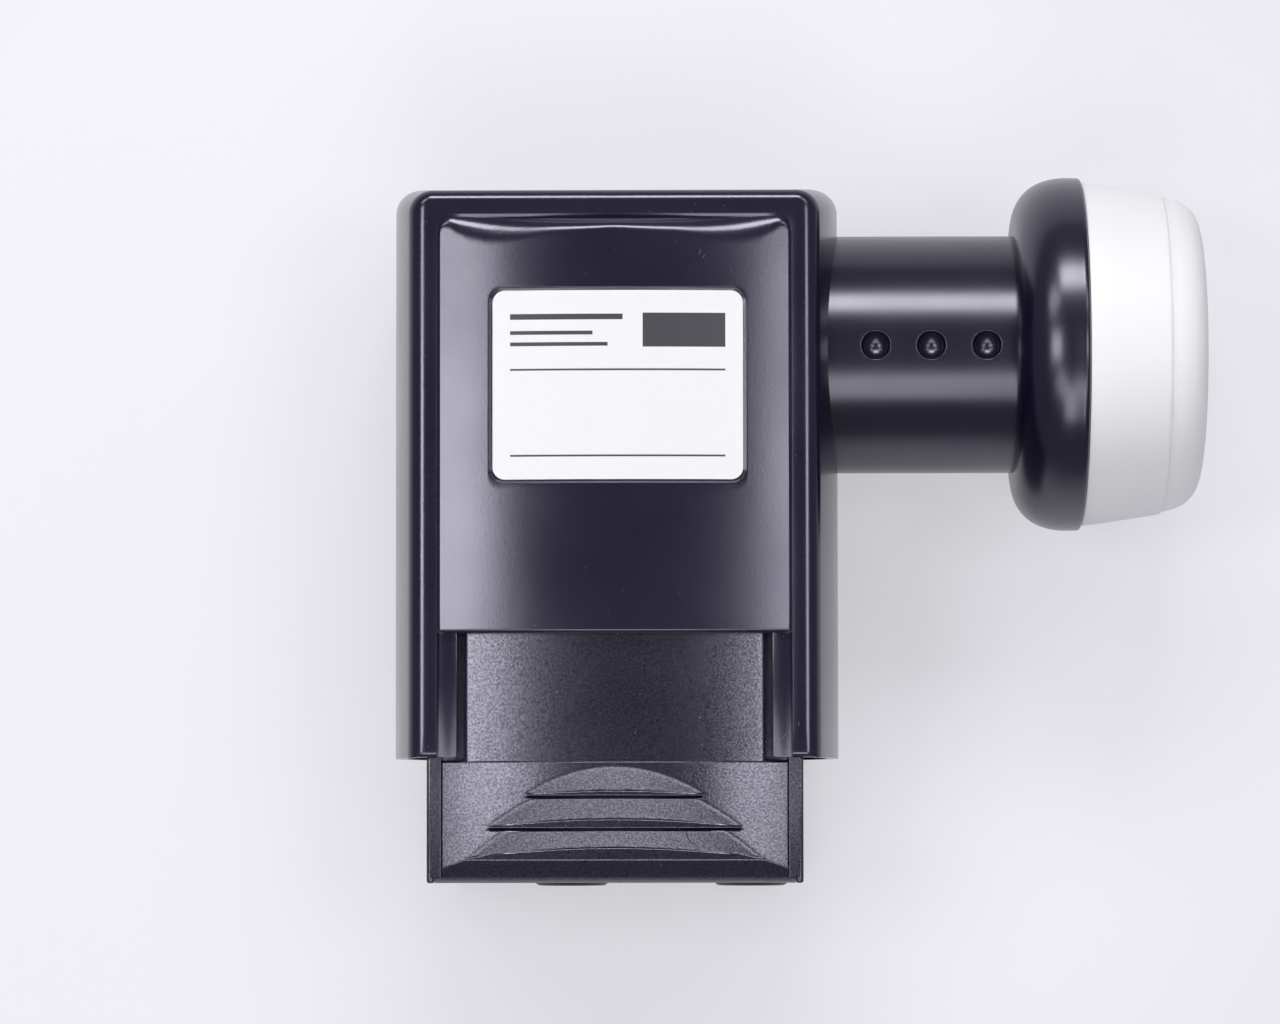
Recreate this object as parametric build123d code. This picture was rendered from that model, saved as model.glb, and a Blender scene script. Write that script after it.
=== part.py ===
from build123d import *
import os
from math import sqrt

# Driving dimensions in millimetres: X along the neck to the horn, Y away from the sockets, Z label side up
neck_r = 20.0
neck_bore_r = 16.7
collar_r = 29.8
shield_half = 30.9
half_width = shield_half + 6.3
neck_side_x = -15.4
centre_x = neck_side_x - half_width
top_y = 27.6
end_y = -68.15
face_z = 28.0
back_z = -30.0
wall = 2.0
bulge_r = 102.0
end_draft = 0.06
end_bulge_r = 400.0
corner_r = 5.0
face_fillet = 2.5
ceiling_z = 25.5

# Panel, window and shield
panel_half = shield_half - 2.15
panel_top_y = 20.8
panel_low_y = -47.8
panel_r = 166.0
panel_crown_z = 30.65
arm_half = shield_half - 1.8
ledge_half = shield_half - 5.1
ledge_z = 27.0
strip_half = shield_half - 2.4
strip_z = 25.2
thumb_r = 115.0
thumb_crown_z = 28.1
thumb_under_z = 22.6
step_y = -68.7
shield_end_y = -88.7
tongue_half = shield_half - 6.8
tongue_r = 150.0
tongue_crown_z = 27.3
tongue_top_y = -36.0
shield_wall = 1.3
shield_back_z = -25.5
shield_inner_y = -58.0
rail_top_y = -40.0

# Neck, collar and cap along X
sleeve_in_x = -21.0
collar_back_x = 14.0
collar_front_x = 25.5
cap_front_x = 46.1
dimple_r = 2.33
dimple_pitch = 9.2
dimple_x = -0.25

# Cast chassis
upper_half = shield_half - 6.3
lower_half = shield_half - 2.5
lower_top_y = -31.5
chassis_top_y = 21.5
plate_y = -69.5
plate_in_y = -66.0
floor_z = -17.0
rim_z = 19.0
lid_top_z = 21.3
board_z = 10.6
board_top_z = 11.8
guide_r = 8.75

# Sockets
outer_socket_u = shield_half - 8.5
inner_socket_u = 7.5
socket_u = (-outer_socket_u, -inner_socket_u, inner_socket_u, outer_socket_u)
socket_z = (-8.0, 8.0, -8.0, 8.0)
thread_r = 4.76
hex_low_y = -74.0
thread_low_y = -86.2
pin_turn_y = plate_in_y + 5.5
dust_low_y = -89.3
dust_r = 6.2

# Screw places, given from the housing centre line
cover_screw_u = shield_half - 3.1
cover_screw_spots = (
    (-cover_screw_u, 17.0), (cover_screw_u, 17.0), (-cover_screw_u, -27.0), (cover_screw_u, -27.0))
slim_u = upper_half - 1.7
wide_u = lower_half - 1.8
lid_screw_spots = (
    (-slim_u, 19.8), (slim_u, 19.8), (-slim_u, -8.0), (slim_u, -8.0),
    (-wide_u, -36.0), (wide_u, -36.0), (-wide_u, -57.5), (wide_u, -57.5))
board_top_u = upper_half - 6.6
board_low_u = lower_half - 6.4
board_screw_spots = (
    (-board_top_u, 15.0), (board_top_u, 15.0), (-board_low_u, -45.0), (board_low_u, -45.0))
horn_screw_spots = ((0.0, 14.7), (12.73, -7.35), (-12.73, -7.35))
post_spots = ((-20.0, 15.0), (20.0, 15.0), (-20.0, -24.0), (20.0, -24.0))

nodes = {}


def block(u0, u1, y0, y1, z0, z1):
    """Box between limits, with u measured from the housing centre line."""
    size = Box(u1 - u0, y1 - y0, z1 - z0)
    return Pos(centre_x + (u0 + u1) / 2, (y0 + y1) / 2, (z0 + z1) / 2) * size


def rod_x(x0, x1, r, y=0.0, z=0.0):
    """Round bar along X."""
    return Pos((x0 + x1) / 2, y, z) * Rot(0, 90, 0) * Cylinder(r, x1 - x0)


def rod_y(u, z, y0, y1, r):
    """Round bar along Y, with u measured from the housing centre line."""
    return Pos(centre_x + u, (y0 + y1) / 2, z) * Rot(90, 0, 0) * Cylinder(r, y1 - y0)


def rod_z(u, y, z0, z1, r):
    """Round bar along Z, with u measured from the housing centre line."""
    return Pos(centre_x + u, y, (z0 + z1) / 2) * Cylinder(r, z1 - z0)


def turned(points):
    """Solid of revolution about the neck axis from (x, radius) points."""
    outline = Polyline(*points, close=True)
    return revolve(make_face(outline), Axis.X, 360)


def bulge(z):
    """Inward lean of the barrel side at height z."""
    return z * z / (2 * bulge_r)


def lean(z):
    """Inward lean of the upper end wall at height z."""
    return end_draft * abs(z) + z * z / (2 * end_bulge_r)


def barrel(half, upper_y, lower_y, z_far, rounding):
    """Half shell block from the parting plane to z_far with bowed sides and top end."""
    mid = z_far / 2
    far_half = half - bulge(z_far)
    mid_half = half - bulge(mid)
    side_r = ThreePointArc((half, 0), (mid_half, mid), (far_half, z_far))
    side_l = ThreePointArc((-far_half, z_far), (-mid_half, mid), (-half, 0))
    roof = Line((far_half, z_far), (-far_half, z_far))
    base = Line((-half, 0), (half, 0))
    cross = make_face(Curve() + [side_r, roof, side_l, base])
    length = upper_y - lower_y
    along = Plane(origin=(centre_x, upper_y, 0), x_dir=(1, 0, 0), z_dir=(0, -1, 0))
    body = extrude(along * cross, length)
    far_y = upper_y - lean(z_far)
    end = ThreePointArc((upper_y, 0), (upper_y - lean(mid), mid), (far_y, z_far))
    lid = Line((far_y, z_far), (lower_y, z_far))
    low = Line((lower_y, z_far), (lower_y, 0))
    foot = Line((lower_y, 0), (upper_y, 0))
    profile = make_face(Curve() + [end, lid, low, foot])
    across = Plane(origin=(centre_x - half, 0, 0), x_dir=(0, 1, 0), z_dir=(1, 0, 0))
    body = body & extrude(across * profile, 2 * half)
    limit = half - 9
    tall = [e for e in body.edges() if abs(e.center().X - centre_x) > limit and e.center().Y > upper_y - 9]
    tall = [e for e in tall if e.bounding_box().size.Z > abs(z_far) * 0.8]
    body = fillet(tall, rounding)
    return body


def face_edges(body, z_far, lower_y):
    """Edges round the outer face, without the open end."""
    picked = []
    for e in body.edges():
        box = e.bounding_box()
        on_face = abs(box.min.Z - z_far) < 0.01 and abs(box.max.Z - z_far) < 0.01
        at_end = abs(box.min.Y - lower_y) < 0.01 and abs(box.max.Y - lower_y) < 0.01
        if on_face and not at_end:
            picked.append(e)
    return picked


def crown(radius, crown_z, half, y0, y1, z_base):
    """Convex strip about the centre line: a slice of a large cylinder along Y."""
    drum = rod_y(0, crown_z - radius, y0, y1, radius)
    return drum & block(-half, half, y0, y1, z_base, crown_z + 1)


def arc_section(half, edge_z, mid_z, base_z, y):
    """Flat-bottomed section with an arched top at a given y."""
    plane = Plane(origin=(centre_x, y, 0), x_dir=(1, 0, 0), z_dir=(0, -1, 0))
    arch = ThreePointArc((half, edge_z), (0, mid_z), (-half, edge_z))
    left = Line((-half, edge_z), (-half, base_z))
    foot = Line((-half, base_z), (half, base_z))
    right = Line((half, base_z), (half, edge_z))
    return plane * make_face(Curve() + [arch, left, foot, right])


def rounded_prism(u, y, w, h, r, z0, z1):
    """Upright prism with a rounded rectangular plan."""
    plan = Pos(centre_x + u, y, z0) * RectangleRounded(w, h, r)
    return extrude(plan, z1 - z0)


def group(solids):
    """Several separate solids in one node."""
    return Compound(children=list(solids))


# Front cover: barrel half with a hollow inside
front = barrel(half_width, top_y, end_y, face_z, corner_r)
front = fillet(face_edges(front, face_z, end_y), face_fillet)
hollow = barrel(half_width - wall, top_y - wall, end_y - 1, ceiling_z, corner_r - wall)
front = front - hollow

# Raised convex panel with a rolled upper end
panel_edge_z = panel_crown_z - panel_r + sqrt(panel_r ** 2 - panel_half ** 2)
roll_start_y = panel_top_y - 2.2
panel = crown(panel_r, panel_crown_z, panel_half, panel_low_y, roll_start_y, 26.5)
roll = ((0.0, 1.0), (0.4, 0.975), (0.8, 0.9), (1.2, 0.76), (1.7, 0.44), (2.2, 0.02))
for (d0, s0), (d1, s1) in zip(roll[:-1], roll[1:]):
    rise0 = (panel_crown_z - face_z) * s0
    rise1 = (panel_crown_z - face_z) * s1
    lip0 = (panel_edge_z - face_z) * s0
    lip1 = (panel_edge_z - face_z) * s1
    sec0 = arc_section(panel_half, face_z + lip0, face_z + rise0, 26.5, roll_start_y + d0)
    sec1 = arc_section(panel_half, face_z + lip1, face_z + rise1, 26.5, roll_start_y + d1)
    panel = panel + loft([sec0, sec1], ruled=True)
front = front + panel

# Window between the arms, ledges beside it and room for the tongue
tongue_room = tongue_crown_z + 0.4
front = front - crown(tongue_r, tongue_room, panel_half, end_y - 1, tongue_top_y + 24.0, 24.0)
front = front - block(-ledge_half, ledge_half, end_y - 1, panel_low_y, 20, 35)
front = front - block(-arm_half, arm_half, end_y - 1, panel_low_y, ledge_z, 35)

# Round the ends of the arms
arm_ends = []
for e in front.edges():
    box = e.bounding_box()
    if abs(box.max.Y - end_y) < 0.01 and abs(box.min.Y - end_y) < 0.01 and abs(box.min.Z - face_z) < 0.01:
        arm_ends.append(e)
if arm_ends:
    front = fillet(arm_ends, 0.9)

# Label recess on the panel
label_u = 0.6
label_y = -7.25
label_w = 41.0
label_h = 31.0
recess = rounded_prism(label_u, label_y, label_w + 1.4, label_h + 1.4, 2.6, 25.0, 35.0)
recess = recess - rod_y(0, panel_crown_z - panel_r, -60, 40, panel_r - 0.3)
front = front - recess
sticker = rounded_prism(label_u, label_y, label_w, label_h, 2.0, 25.0, 35.0)
sticker = sticker & rod_y(0, panel_crown_z - panel_r, -60, 40, panel_r - 0.12)
sticker = sticker - rod_y(0, panel_crown_z - panel_r, -60, 40, panel_r - 0.3)
nodes["label"] = sticker

# Screw bosses with webs, hold-down posts and the neck opening of the front cover
front_outer = barrel(half_width - 0.5, top_y - 0.5, end_y + 0.5, ceiling_z + 0.5, corner_r)
for u, y in cover_screw_spots:
    side = 1 if u > 0 else -1
    boss = rod_z(u, y, 0, 19.5, 2.8)
    u_wall = side * (half_width - 0.6)
    web = block(min(u + side * 2, u_wall), max(u + side * 2, u_wall), y - 1, y + 1, 0, 16)
    front = front + (boss + (web & front_outer))
    front = front - rod_z(u, y, -1, 12, 1.2)
for u, y in ((-16.0, 12.0), (16.0, 12.0), (-16.0, -10.0), (16.0, -10.0)):
    front = front + rod_z(u, y, lid_top_z, 27.0, 2.0)
neck_hole = rod_x(-24, 0, neck_r + 0.1)
grip = rod_x(-20.6, -17.4, neck_r + 2.6) & front_outer
front = front + (grip & block(20, 40, -30, 30, 0, 30))
front = front - neck_hole
nodes["front_cover"] = front

# Rear cover: mirrored barrel half with a flat back
rear = barrel(half_width, top_y, end_y, back_z, corner_r)
rear = fillet(face_edges(rear, back_z, end_y), face_fillet)
rear_hollow = barrel(half_width - wall, top_y - wall, end_y - 1, back_z + 2.2, corner_r - wall)
rear = rear - rear_hollow
rear_outer = barrel(half_width - 0.5, top_y - 0.5, end_y + 0.5, back_z + 0.5, corner_r)
for u, y in cover_screw_spots:
    side = 1 if u > 0 else -1
    boss = rod_z(u, y, back_z + 1.5, 0, 2.8)
    u_wall = side * (half_width - 0.6)
    web = block(min(u + side * 2, u_wall), max(u + side * 2, u_wall), y - 1, y + 1, back_z + 1.5, 0)
    rear = rear + (boss + (web & rear_outer))
    rear = rear - rod_z(u, y, back_z - 1, 1, 1.4)
    rear = rear - rod_z(u, y, back_z - 1, back_z + 1.9, 2.5)
for u, y in post_spots:
    rear = rear + rod_z(u, y, back_z + 1.5, floor_z, 3.0)
rear_grip = rod_x(-20.6, -17.4, neck_r + 2.6) & rear_outer
rear = rear + (rear_grip & block(20, 40, -30, 30, -30, 0))
rear = rear - neck_hole
nodes["rear_cover"] = rear

# Screws that hold the covers together
screws = []
for u, y in cover_screw_spots:
    head = rod_z(u, y, back_z + 0.3, back_z + 1.9, 2.2)
    slot = block(u - 1.5, u + 1.5, y - 0.3, y + 0.3, back_z, back_z + 0.9)
    cross = block(u - 0.3, u + 0.3, y - 1.5, y + 1.5, back_z, back_z + 0.9)
    shank = rod_z(u, y, back_z + 1.8, 9.0, 1.15)
    screws.append(head + shank - slot - cross)
nodes["cover_screws"] = group(screws)

# Weather shield: convex thumb section with side strips
thumb = crown(thumb_r, thumb_crown_z, strip_half + 1.2, shield_end_y, step_y, thumb_under_z)
lip_low_z = 21.7
lip_top_y = shield_end_y + 3.8
lip_far_y = shield_end_y - 3.3
lip_steps = ((3.8, 25.46), (2.4, 23.95), (1.5, 23.2), (0.8, 22.75), (0.3, 22.4), (0.0, 22.1))
lip_line = [(shield_end_y + run, z) for run, z in lip_steps]
lip_profile = Polyline(
    (lip_top_y, 35), *lip_line, (shield_end_y, 16), (lip_far_y, 16), (lip_far_y, 35), close=True)
yz_plane = Plane(origin=(centre_x - 40, 0, 0), x_dir=(0, 1, 0), z_dir=(1, 0, 0))
lip_cut = extrude(yz_plane * make_face(lip_profile), 80)
lip_half = strip_half + 1.2
shield = thumb + block(-lip_half, lip_half, shield_end_y, shield_end_y + 2.4, lip_low_z, thumb_under_z + 0.5)
shield = shield - lip_cut

# Thumb grip: three flat lands, each with a scooped bay above it
grip_rows = (
    (-69.7, 28.1, -73.35, 26.55, -74.0, 27.22, 136.0),
    (-74.75, 26.85, -78.35, 25.2, -79.3, 26.24, 187.0),
    (-80.05, 25.85, -83.1, 24.15, -84.4, 25.46, 200.0),
)
for start_y, start_z, foot_y, foot_z, land_y, land_z, scoop_r in grip_rows:
    over = block(-30, 30, land_y - 0.5, land_y, land_z, 35)
    shield = shield - over
    fall = (start_z - foot_z) / (start_y - foot_y)
    tilt = Vector(0, 1, fall).normalized()
    mid = Vector(centre_x, (start_y + foot_y) / 2, (start_z + foot_z) / 2)
    rise = Vector(0, -tilt.Z, tilt.Y)
    drum_plane = Plane(origin=mid + rise * scoop_r, x_dir=(1, 0, 0), z_dir=(0, tilt.Y, tilt.Z))
    drum = drum_plane * Cylinder(scoop_r, 40)
    root_y = foot_y + (foot_z - 20) * (foot_y - land_y) / (land_z - foot_z)
    bay = Polyline((start_y, 35), (start_y, 20), (root_y, 20), (land_y, land_z), (land_y, 35), close=True)
    prism = extrude(yz_plane * make_face(bay), 80)
    shield = shield - (drum & prism)
for line_y, line_z in ((-74.5, 26.5), (-79.8, 25.5)):
    shield = shield - block(-21, 21, line_y - 0.27, line_y, line_z, 35)

# Side strips, rails, walls and back of the shield
cheek_half = tongue_half - 1.2
for side in (-1, 1):
    u0 = min(side * strip_half, side * shield_half)
    u1 = max(side * strip_half, side * shield_half)
    w0 = min(side * (shield_half - shield_wall), side * shield_half)
    w1 = max(side * (shield_half - shield_wall), side * shield_half)
    rail = block(u0, u1, shield_end_y + 0.7, rail_top_y, strip_z - 1.8, strip_z)
    side_wall = block(w0, w1, shield_end_y, shield_inner_y, shield_back_z, strip_z - 0.5)
    corners = [e for e in rail.edges() if abs(e.center().X - centre_x - side * shield_half) < 0.01]
    corners = [e for e in corners if abs(e.center().Y - shield_end_y - 0.7) < 0.01]
    corners = [e for e in corners if e.bounding_box().size.Z > 1]
    rail = fillet(corners, 0.6)
    v0 = min(side * cheek_half, side * (strip_half + 0.9))
    v1 = max(side * cheek_half, side * (strip_half + 0.9))
    web = block(v0, v1, step_y - 0.5, rail_top_y, thumb_under_z, thumb_under_z + 1.2)
    c0 = min(side * cheek_half, side * tongue_half)
    c1 = max(side * cheek_half, side * tongue_half)
    cheek = block(c0, c1, step_y - 0.5, rail_top_y, thumb_under_z, thumb_under_z + 2.0)
    shield = shield + rail + side_wall + web + cheek
tray_z = shield_back_z + shield_wall
shield = shield + block(-shield_half, shield_half, shield_end_y, shield_inner_y, shield_back_z, tray_z)
tongue = crown(tongue_r, tongue_crown_z, tongue_half, step_y - 0.5, tongue_top_y, 23.0)
tongue = tongue - rod_y(0, tongue_crown_z - tongue_r, step_y - 3, tongue_top_y + 1, tongue_r - 1.8)
shield = shield + tongue
back_edges = []
for e in shield.edges():
    box = e.bounding_box()
    long_y = box.size.Y > 25
    at_back = abs(box.min.Z - shield_back_z) < 0.01 and abs(box.max.Z - shield_back_z) < 0.01
    if long_y and at_back:
        back_edges.append(e)
shield = fillet(back_edges, 1.2)
nodes["weather_shield"] = shield

# Neck sleeve with three round dimples
sleeve = rod_x(sleeve_in_x, collar_back_x, neck_r) - rod_x(sleeve_in_x - 1, collar_back_x + 1, neck_bore_r)
for i in (-1, 0, 1):
    sleeve = sleeve - Pos(dimple_x + i * dimple_pitch, 0, neck_r + 0.3) * Sphere(dimple_r)
sleeve_ends = [e for e in sleeve.edges() if abs(e.center().X - collar_back_x) < 0.01]
sleeve_ends = [e for e in sleeve_ends if e.bounding_box().size.Z > 38]
sleeve = chamfer(sleeve_ends, 0.5)
nodes["neck_sleeve"] = sleeve

# Horn collar: rounded back, short rim, seat for the horn and for the seal
collar_start = [(collar_back_x, 16.4), (collar_back_x, 22.0), (14.3, 24.0), (15.1, 25.9), (16.4, 27.5)]
collar_rim = [(18.1, 28.7), (20.1, 29.5), (22.2, collar_r), (25.1, collar_r), (collar_front_x, 29.4)]
seal_seat = [(collar_front_x, 28.7), (24.5, 28.7), (24.5, 27.5), (collar_front_x, 27.5)]
horn_seat = [(collar_front_x, 27.1), (17.3, 27.1), (17.3, 16.4)]
nodes["horn_collar"] = turned(collar_start + collar_rim + seal_seat + horn_seat)

# White cap over the horn mouth
cap_side = [(collar_front_x, 27.3), (collar_front_x, 29.0), (39.0, 27.0), (39.3, 26.6), (41.6, 26.0)]
cap_face = [(43.4, 25.0), (44.7, 23.6), (45.4, 21.6), (45.8, 15.0), (46.05, 7.0), (cap_front_x, 0.0)]
cap_back = [(43.8, 0.0), (43.7, 10.0), (43.3, 21.0), (42.4, 23.2), (40.8, 24.6)]
cap_bore = [(38.4, 25.3), (30.0, 26.6), (27.0, 27.3)]
nodes["feed_cap"] = turned(cap_side + cap_face + cap_back + cap_bore)

# Seal ring between collar and cap
nodes["cap_seal"] = Rot(0, 90, 0) * Torus(28.1, 0.48)
nodes["cap_seal"] = Pos(25.0, 0, 0) * nodes["cap_seal"]

# Cast feed horn with choke rings
horn_root = [(9.0, guide_r), (9.0, 11.4), (13.0, 11.4), (13.0, 16.2), (17.5, 16.2), (17.5, 26.9)]
choke_outer = [(24.6, 26.9), (24.6, 26.4), (36.0, 24.8), (36.0, 23.4), (20.5, 23.4)]
choke_inner = [(20.5, 18.8), (33.0, 18.8), (33.0, 17.4), (20.5, 17.4)]
horn_mouth = [(20.5, 12.6), (38.5, 12.6), (38.5, 11.6), (26.0, guide_r)]
horn = turned(horn_root + choke_outer + choke_inner + horn_mouth)
for y, z in horn_screw_spots:
    horn = horn - rod_x(12, 21, 1.0, y, z)
nodes["feed_horn"] = horn
nodes["horn_screws"] = group(
    [rod_x(5.0, 20.6, 0.95, y, z) + rod_x(20.5, 22.0, 1.7, y, z) for y, z in horn_screw_spots])

# Die-cast chassis: T-shaped box with the waveguide tube
def tee(inset, z0, z1):
    """T-shaped block that follows the chassis plan."""
    wide = block(-lower_half + inset, lower_half - inset, plate_y + inset, lower_top_y - inset, z0, z1)
    slim = block(-upper_half + inset, upper_half - inset, lower_top_y - 8, chassis_top_y - inset, z0, z1)
    return wide + slim


chassis = tee(0, floor_z, rim_z) - tee(2.2, floor_z + 2.0, rim_z + 1)
chassis = chassis + block(-lower_half, lower_half, plate_y, plate_in_y, floor_z, rim_z)
tube_end_x = 13.0
chassis = chassis + rod_x(centre_x - 12, centre_x + upper_half, 10.4)
chassis = chassis + block(-12, upper_half, -1.5, 1.5, floor_z + 1, -9)
chassis = chassis + rod_x(centre_x + upper_half - 2, tube_end_x, 13.5)
for x0, x1 in ((-21.0, -15.0), (-1.0, tube_end_x)):
    chassis = chassis + rod_x(x0, x1, neck_bore_r - 0.05)
chassis = chassis - rod_x(centre_x - 10.4, 20, guide_r)
chassis = chassis - rod_x(8.9, 14, 11.5)
for y, z in horn_screw_spots:
    chassis = chassis - rod_x(4.0, 14, 1.0, y, z)
for u, y in board_screw_spots:
    chassis = chassis + rod_z(u, y, floor_z + 1, board_z, 2.6)
    chassis = chassis - rod_z(u, y, 3.0, 12, 1.05)
for u, y in lid_screw_spots:
    pad = rod_z(u, y, floor_z + 1, rim_z, 2.4) & tee(0, floor_z, rim_z)
    chassis = chassis + pad
    chassis = chassis - rod_z(u, y, 9.0, 20, 0.85)
for u, z in zip(socket_u, socket_z):
    chassis = chassis - rod_y(u, z, plate_y - 1, plate_in_y + 1, 4.8)
bead_v_u = 6.0
bead_h_u = -3.0
chassis = chassis - rod_z(bead_v_u, 0, 5, 12, 1.6)
chassis = chassis - rod_y(bead_h_u, 0, 5, 12, 1.6)
nodes["chassis"] = chassis

# Seal, lid and lid screws
gasket = tee(0.3, rim_z, rim_z + 0.5) - tee(1.9, rim_z - 1, rim_z + 2)
for u, y in lid_screw_spots:
    gasket = gasket + (rod_z(u, y, rim_z, rim_z + 0.5, 2.2) & tee(0.3, rim_z, rim_z + 0.5))
    gasket = gasket - rod_z(u, y, rim_z - 1, rim_z + 2, 1.0)
nodes["lid_gasket"] = gasket
lid = tee(0, rim_z + 0.5, lid_top_z)
for u, y in lid_screw_spots:
    lid = lid - rod_z(u, y, rim_z, lid_top_z + 1, 1.0)
nodes["chassis_lid"] = lid
lid_screws = []
for u, y in lid_screw_spots:
    shank = rod_z(u, y, 11.0, lid_top_z + 0.1, 0.8)
    head = rod_z(u, y, lid_top_z, lid_top_z + 0.9, 1.5)
    lid_screws.append(shank + head)
nodes["lid_screws"] = group(lid_screws)

# Circuit board with its parts
board = tee(2.5, board_z, board_top_z) - block(-30, 30, plate_y, plate_in_y + 0.5, 0, 30)
for u, y in lid_screw_spots:
    board = board - rod_z(u, y, board_z - 1, board_top_z + 1, 2.8)
for u, y in board_screw_spots:
    board = board - rod_z(u, y, board_z - 1, board_top_z + 1, 1.2)
board = board - rod_z(bead_v_u, 0, board_z - 1, board_top_z + 1, 0.65)
board = board - rod_z(bead_h_u, 13.0, board_z - 1, board_top_z + 1, 0.65)
for u in socket_u:
    board = board - rod_z(u, pin_turn_y, board_z - 1, board_top_z + 1, 0.75)
nodes["circuit_board"] = board
board_screws = []
for u, y in board_screw_spots:
    shank = rod_z(u, y, 4.0, board_top_z + 0.1, 1.0)
    head = rod_z(u, y, board_top_z, board_top_z + 1.4, 1.9)
    board_screws.append(shank + head)
nodes["board_screws"] = group(board_screws)
can = block(-9.0, 11.0, -26.0, -10.0, board_top_z, 16.8)
can = can - block(-8.6, 10.6, -25.6, -10.4, board_top_z - 1, 16.4)
nodes["shield_can"] = can
nodes["tuner_chip"] = block(-4.0, 5.0, -22.5, -13.5, board_top_z, board_top_z + 0.9)
stage_spots = ((8.5, 4.5), (2.0, 7.5), (-3.5, 9.0))
nodes["lna_transistors"] = group(
    [block(u - 1.0, u + 1.0, y - 1.0, y + 1.0, board_top_z, board_top_z + 0.8) for u, y in stage_spots])
nodes["crystal"] = block(-18.0, -13.0, -22.0, -18.8, board_top_z, board_top_z + 1.2)
nodes["regulator"] = block(-12.0, -5.5, -42.0, -36.0, board_top_z, board_top_z + 2.3)
cap_spots = ((8.0, -40.0), (14.5, -40.0), (14.5, -52.0))
nodes["capacitors"] = group([rod_z(u, y, board_top_z, board_top_z + 5.4, 2.5) for u, y in cap_spots])
coil_spots = ((-4.0, -52.0), (4.5, -52.0))
nodes["inductors"] = group(
    [block(u - 2.5, u + 2.5, y - 2.5, y + 2.5, board_top_z, board_top_z + 3.0) for u, y in coil_spots])

# Waveguide probes and their beads
nodes["probe_vertical"] = rod_z(bead_v_u, 0, 2.0, board_top_z + 0.8, 0.6)
leg = rod_z(bead_h_u, 13.0, -0.6, board_top_z + 0.8, 0.6)
nodes["probe_horizontal"] = leg + rod_y(bead_h_u, 0, 2.0, 13.3, 0.55)
guide_core = rod_x(centre_x - 10, centre_x + 20, guide_r)
bead_v = rod_z(bead_v_u, 0, 7.9, 10.4, 1.6) - rod_z(bead_v_u, 0, 7, 12, 0.6) - guide_core
bead_h = rod_y(bead_h_u, 0, 7.9, 10.4, 1.6) - rod_y(bead_h_u, 0, 7, 12, 0.55) - guide_core
nodes["probe_beads"] = group([bead_v, bead_h])

# Four screw sockets in two rows
for i, (u, z) in enumerate(zip(socket_u, socket_z), start=1):
    hexagon = extrude(Plane(origin=(centre_x + u, plate_y, z), x_dir=(1, 0, 0), z_dir=(0, -1, 0))
                      * RegularPolygon(5.5, 6, major_radius=False, rotation=30), plate_y - hex_low_y)
    spigot = rod_y(u, z, plate_y - 1, plate_in_y, 4.75)
    thread = rod_y(u, z, thread_low_y, hex_low_y + 1, thread_r)
    tip = [e for e in thread.edges() if abs(e.center().Y - thread_low_y) < 0.01]
    thread = chamfer(tip, 0.5)
    socket = hexagon + spigot + thread
    socket = socket - rod_y(u, z, thread_low_y - 1, plate_in_y + 1, 3.0)
    nodes["f_connector_%d" % i] = socket
    plug = rod_y(u, z, thread_low_y + 1.2, plate_in_y - 0.4, 3.0)
    plug = plug - rod_y(u, z, thread_low_y + 0.2, plate_in_y + 1, 0.95)
    nodes["f_insulator_%d" % i] = plug
    pin = rod_y(u, z, thread_low_y + 1.6, pin_turn_y, 0.9) - rod_y(u, z, thread_low_y + 0.2, hex_low_y - 2, 0.5)
    pin = pin + rod_z(u, pin_turn_y, z - 0.6, board_top_z + 0.7, 0.6)
    nodes["f_contact_%d" % i] = pin

# Push-on dust caps over the two sockets of the front row
for i in (2, 4):
    u = socket_u[i - 1]
    z = socket_z[i - 1]
    dust = rod_y(u, z, dust_low_y, hex_low_y - 0.3, dust_r)
    rim = [e for e in dust.edges() if abs(e.center().Y - dust_low_y) < 0.01]
    dust = fillet(rim, 1.0)
    dust = dust - rod_y(u, z, thread_low_y - 0.5, hex_low_y + 1, thread_r + 0.15)
    nodes["dust_cap_%d" % i] = dust

os.makedirs("parts", exist_ok=True)
for name, shape in nodes.items():
    shape.label = name
    export_step(shape, "parts/%s.step" % name)
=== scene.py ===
"""Looks of a satellite low-noise block: black housing, sliding weather shield, clamp neck and white cap."""

import logging
import math
from dataclasses import dataclass
from enum import Enum
from typing import Sequence

import bmesh
import bpy
import numpy as np
from mathutils import Matrix, Vector


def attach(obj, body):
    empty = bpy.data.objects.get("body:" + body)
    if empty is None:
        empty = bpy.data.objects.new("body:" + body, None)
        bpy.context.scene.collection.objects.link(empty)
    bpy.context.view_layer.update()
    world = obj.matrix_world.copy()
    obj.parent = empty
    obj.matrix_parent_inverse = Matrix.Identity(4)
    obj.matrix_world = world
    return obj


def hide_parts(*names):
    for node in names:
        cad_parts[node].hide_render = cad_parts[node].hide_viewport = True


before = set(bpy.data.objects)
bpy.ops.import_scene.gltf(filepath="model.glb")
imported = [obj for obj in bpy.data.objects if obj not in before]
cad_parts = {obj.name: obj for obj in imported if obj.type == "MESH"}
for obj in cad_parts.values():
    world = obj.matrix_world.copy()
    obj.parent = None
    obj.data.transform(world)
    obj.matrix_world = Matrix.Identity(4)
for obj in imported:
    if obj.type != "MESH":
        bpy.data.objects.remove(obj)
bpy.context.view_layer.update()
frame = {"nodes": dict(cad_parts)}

LOG = logging.getLogger("low_noise_block")
MM = 0.001
CENTRE_X = -52.6
NECK_HOLE_R = 20.1
GLOSS_SWING = 0.03
MIX_SHARE, MIX_FIRST, MIX_SECOND, MIX_RESULT = 0, 6, 7, 2
Point = tuple[float, float, float]


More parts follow.
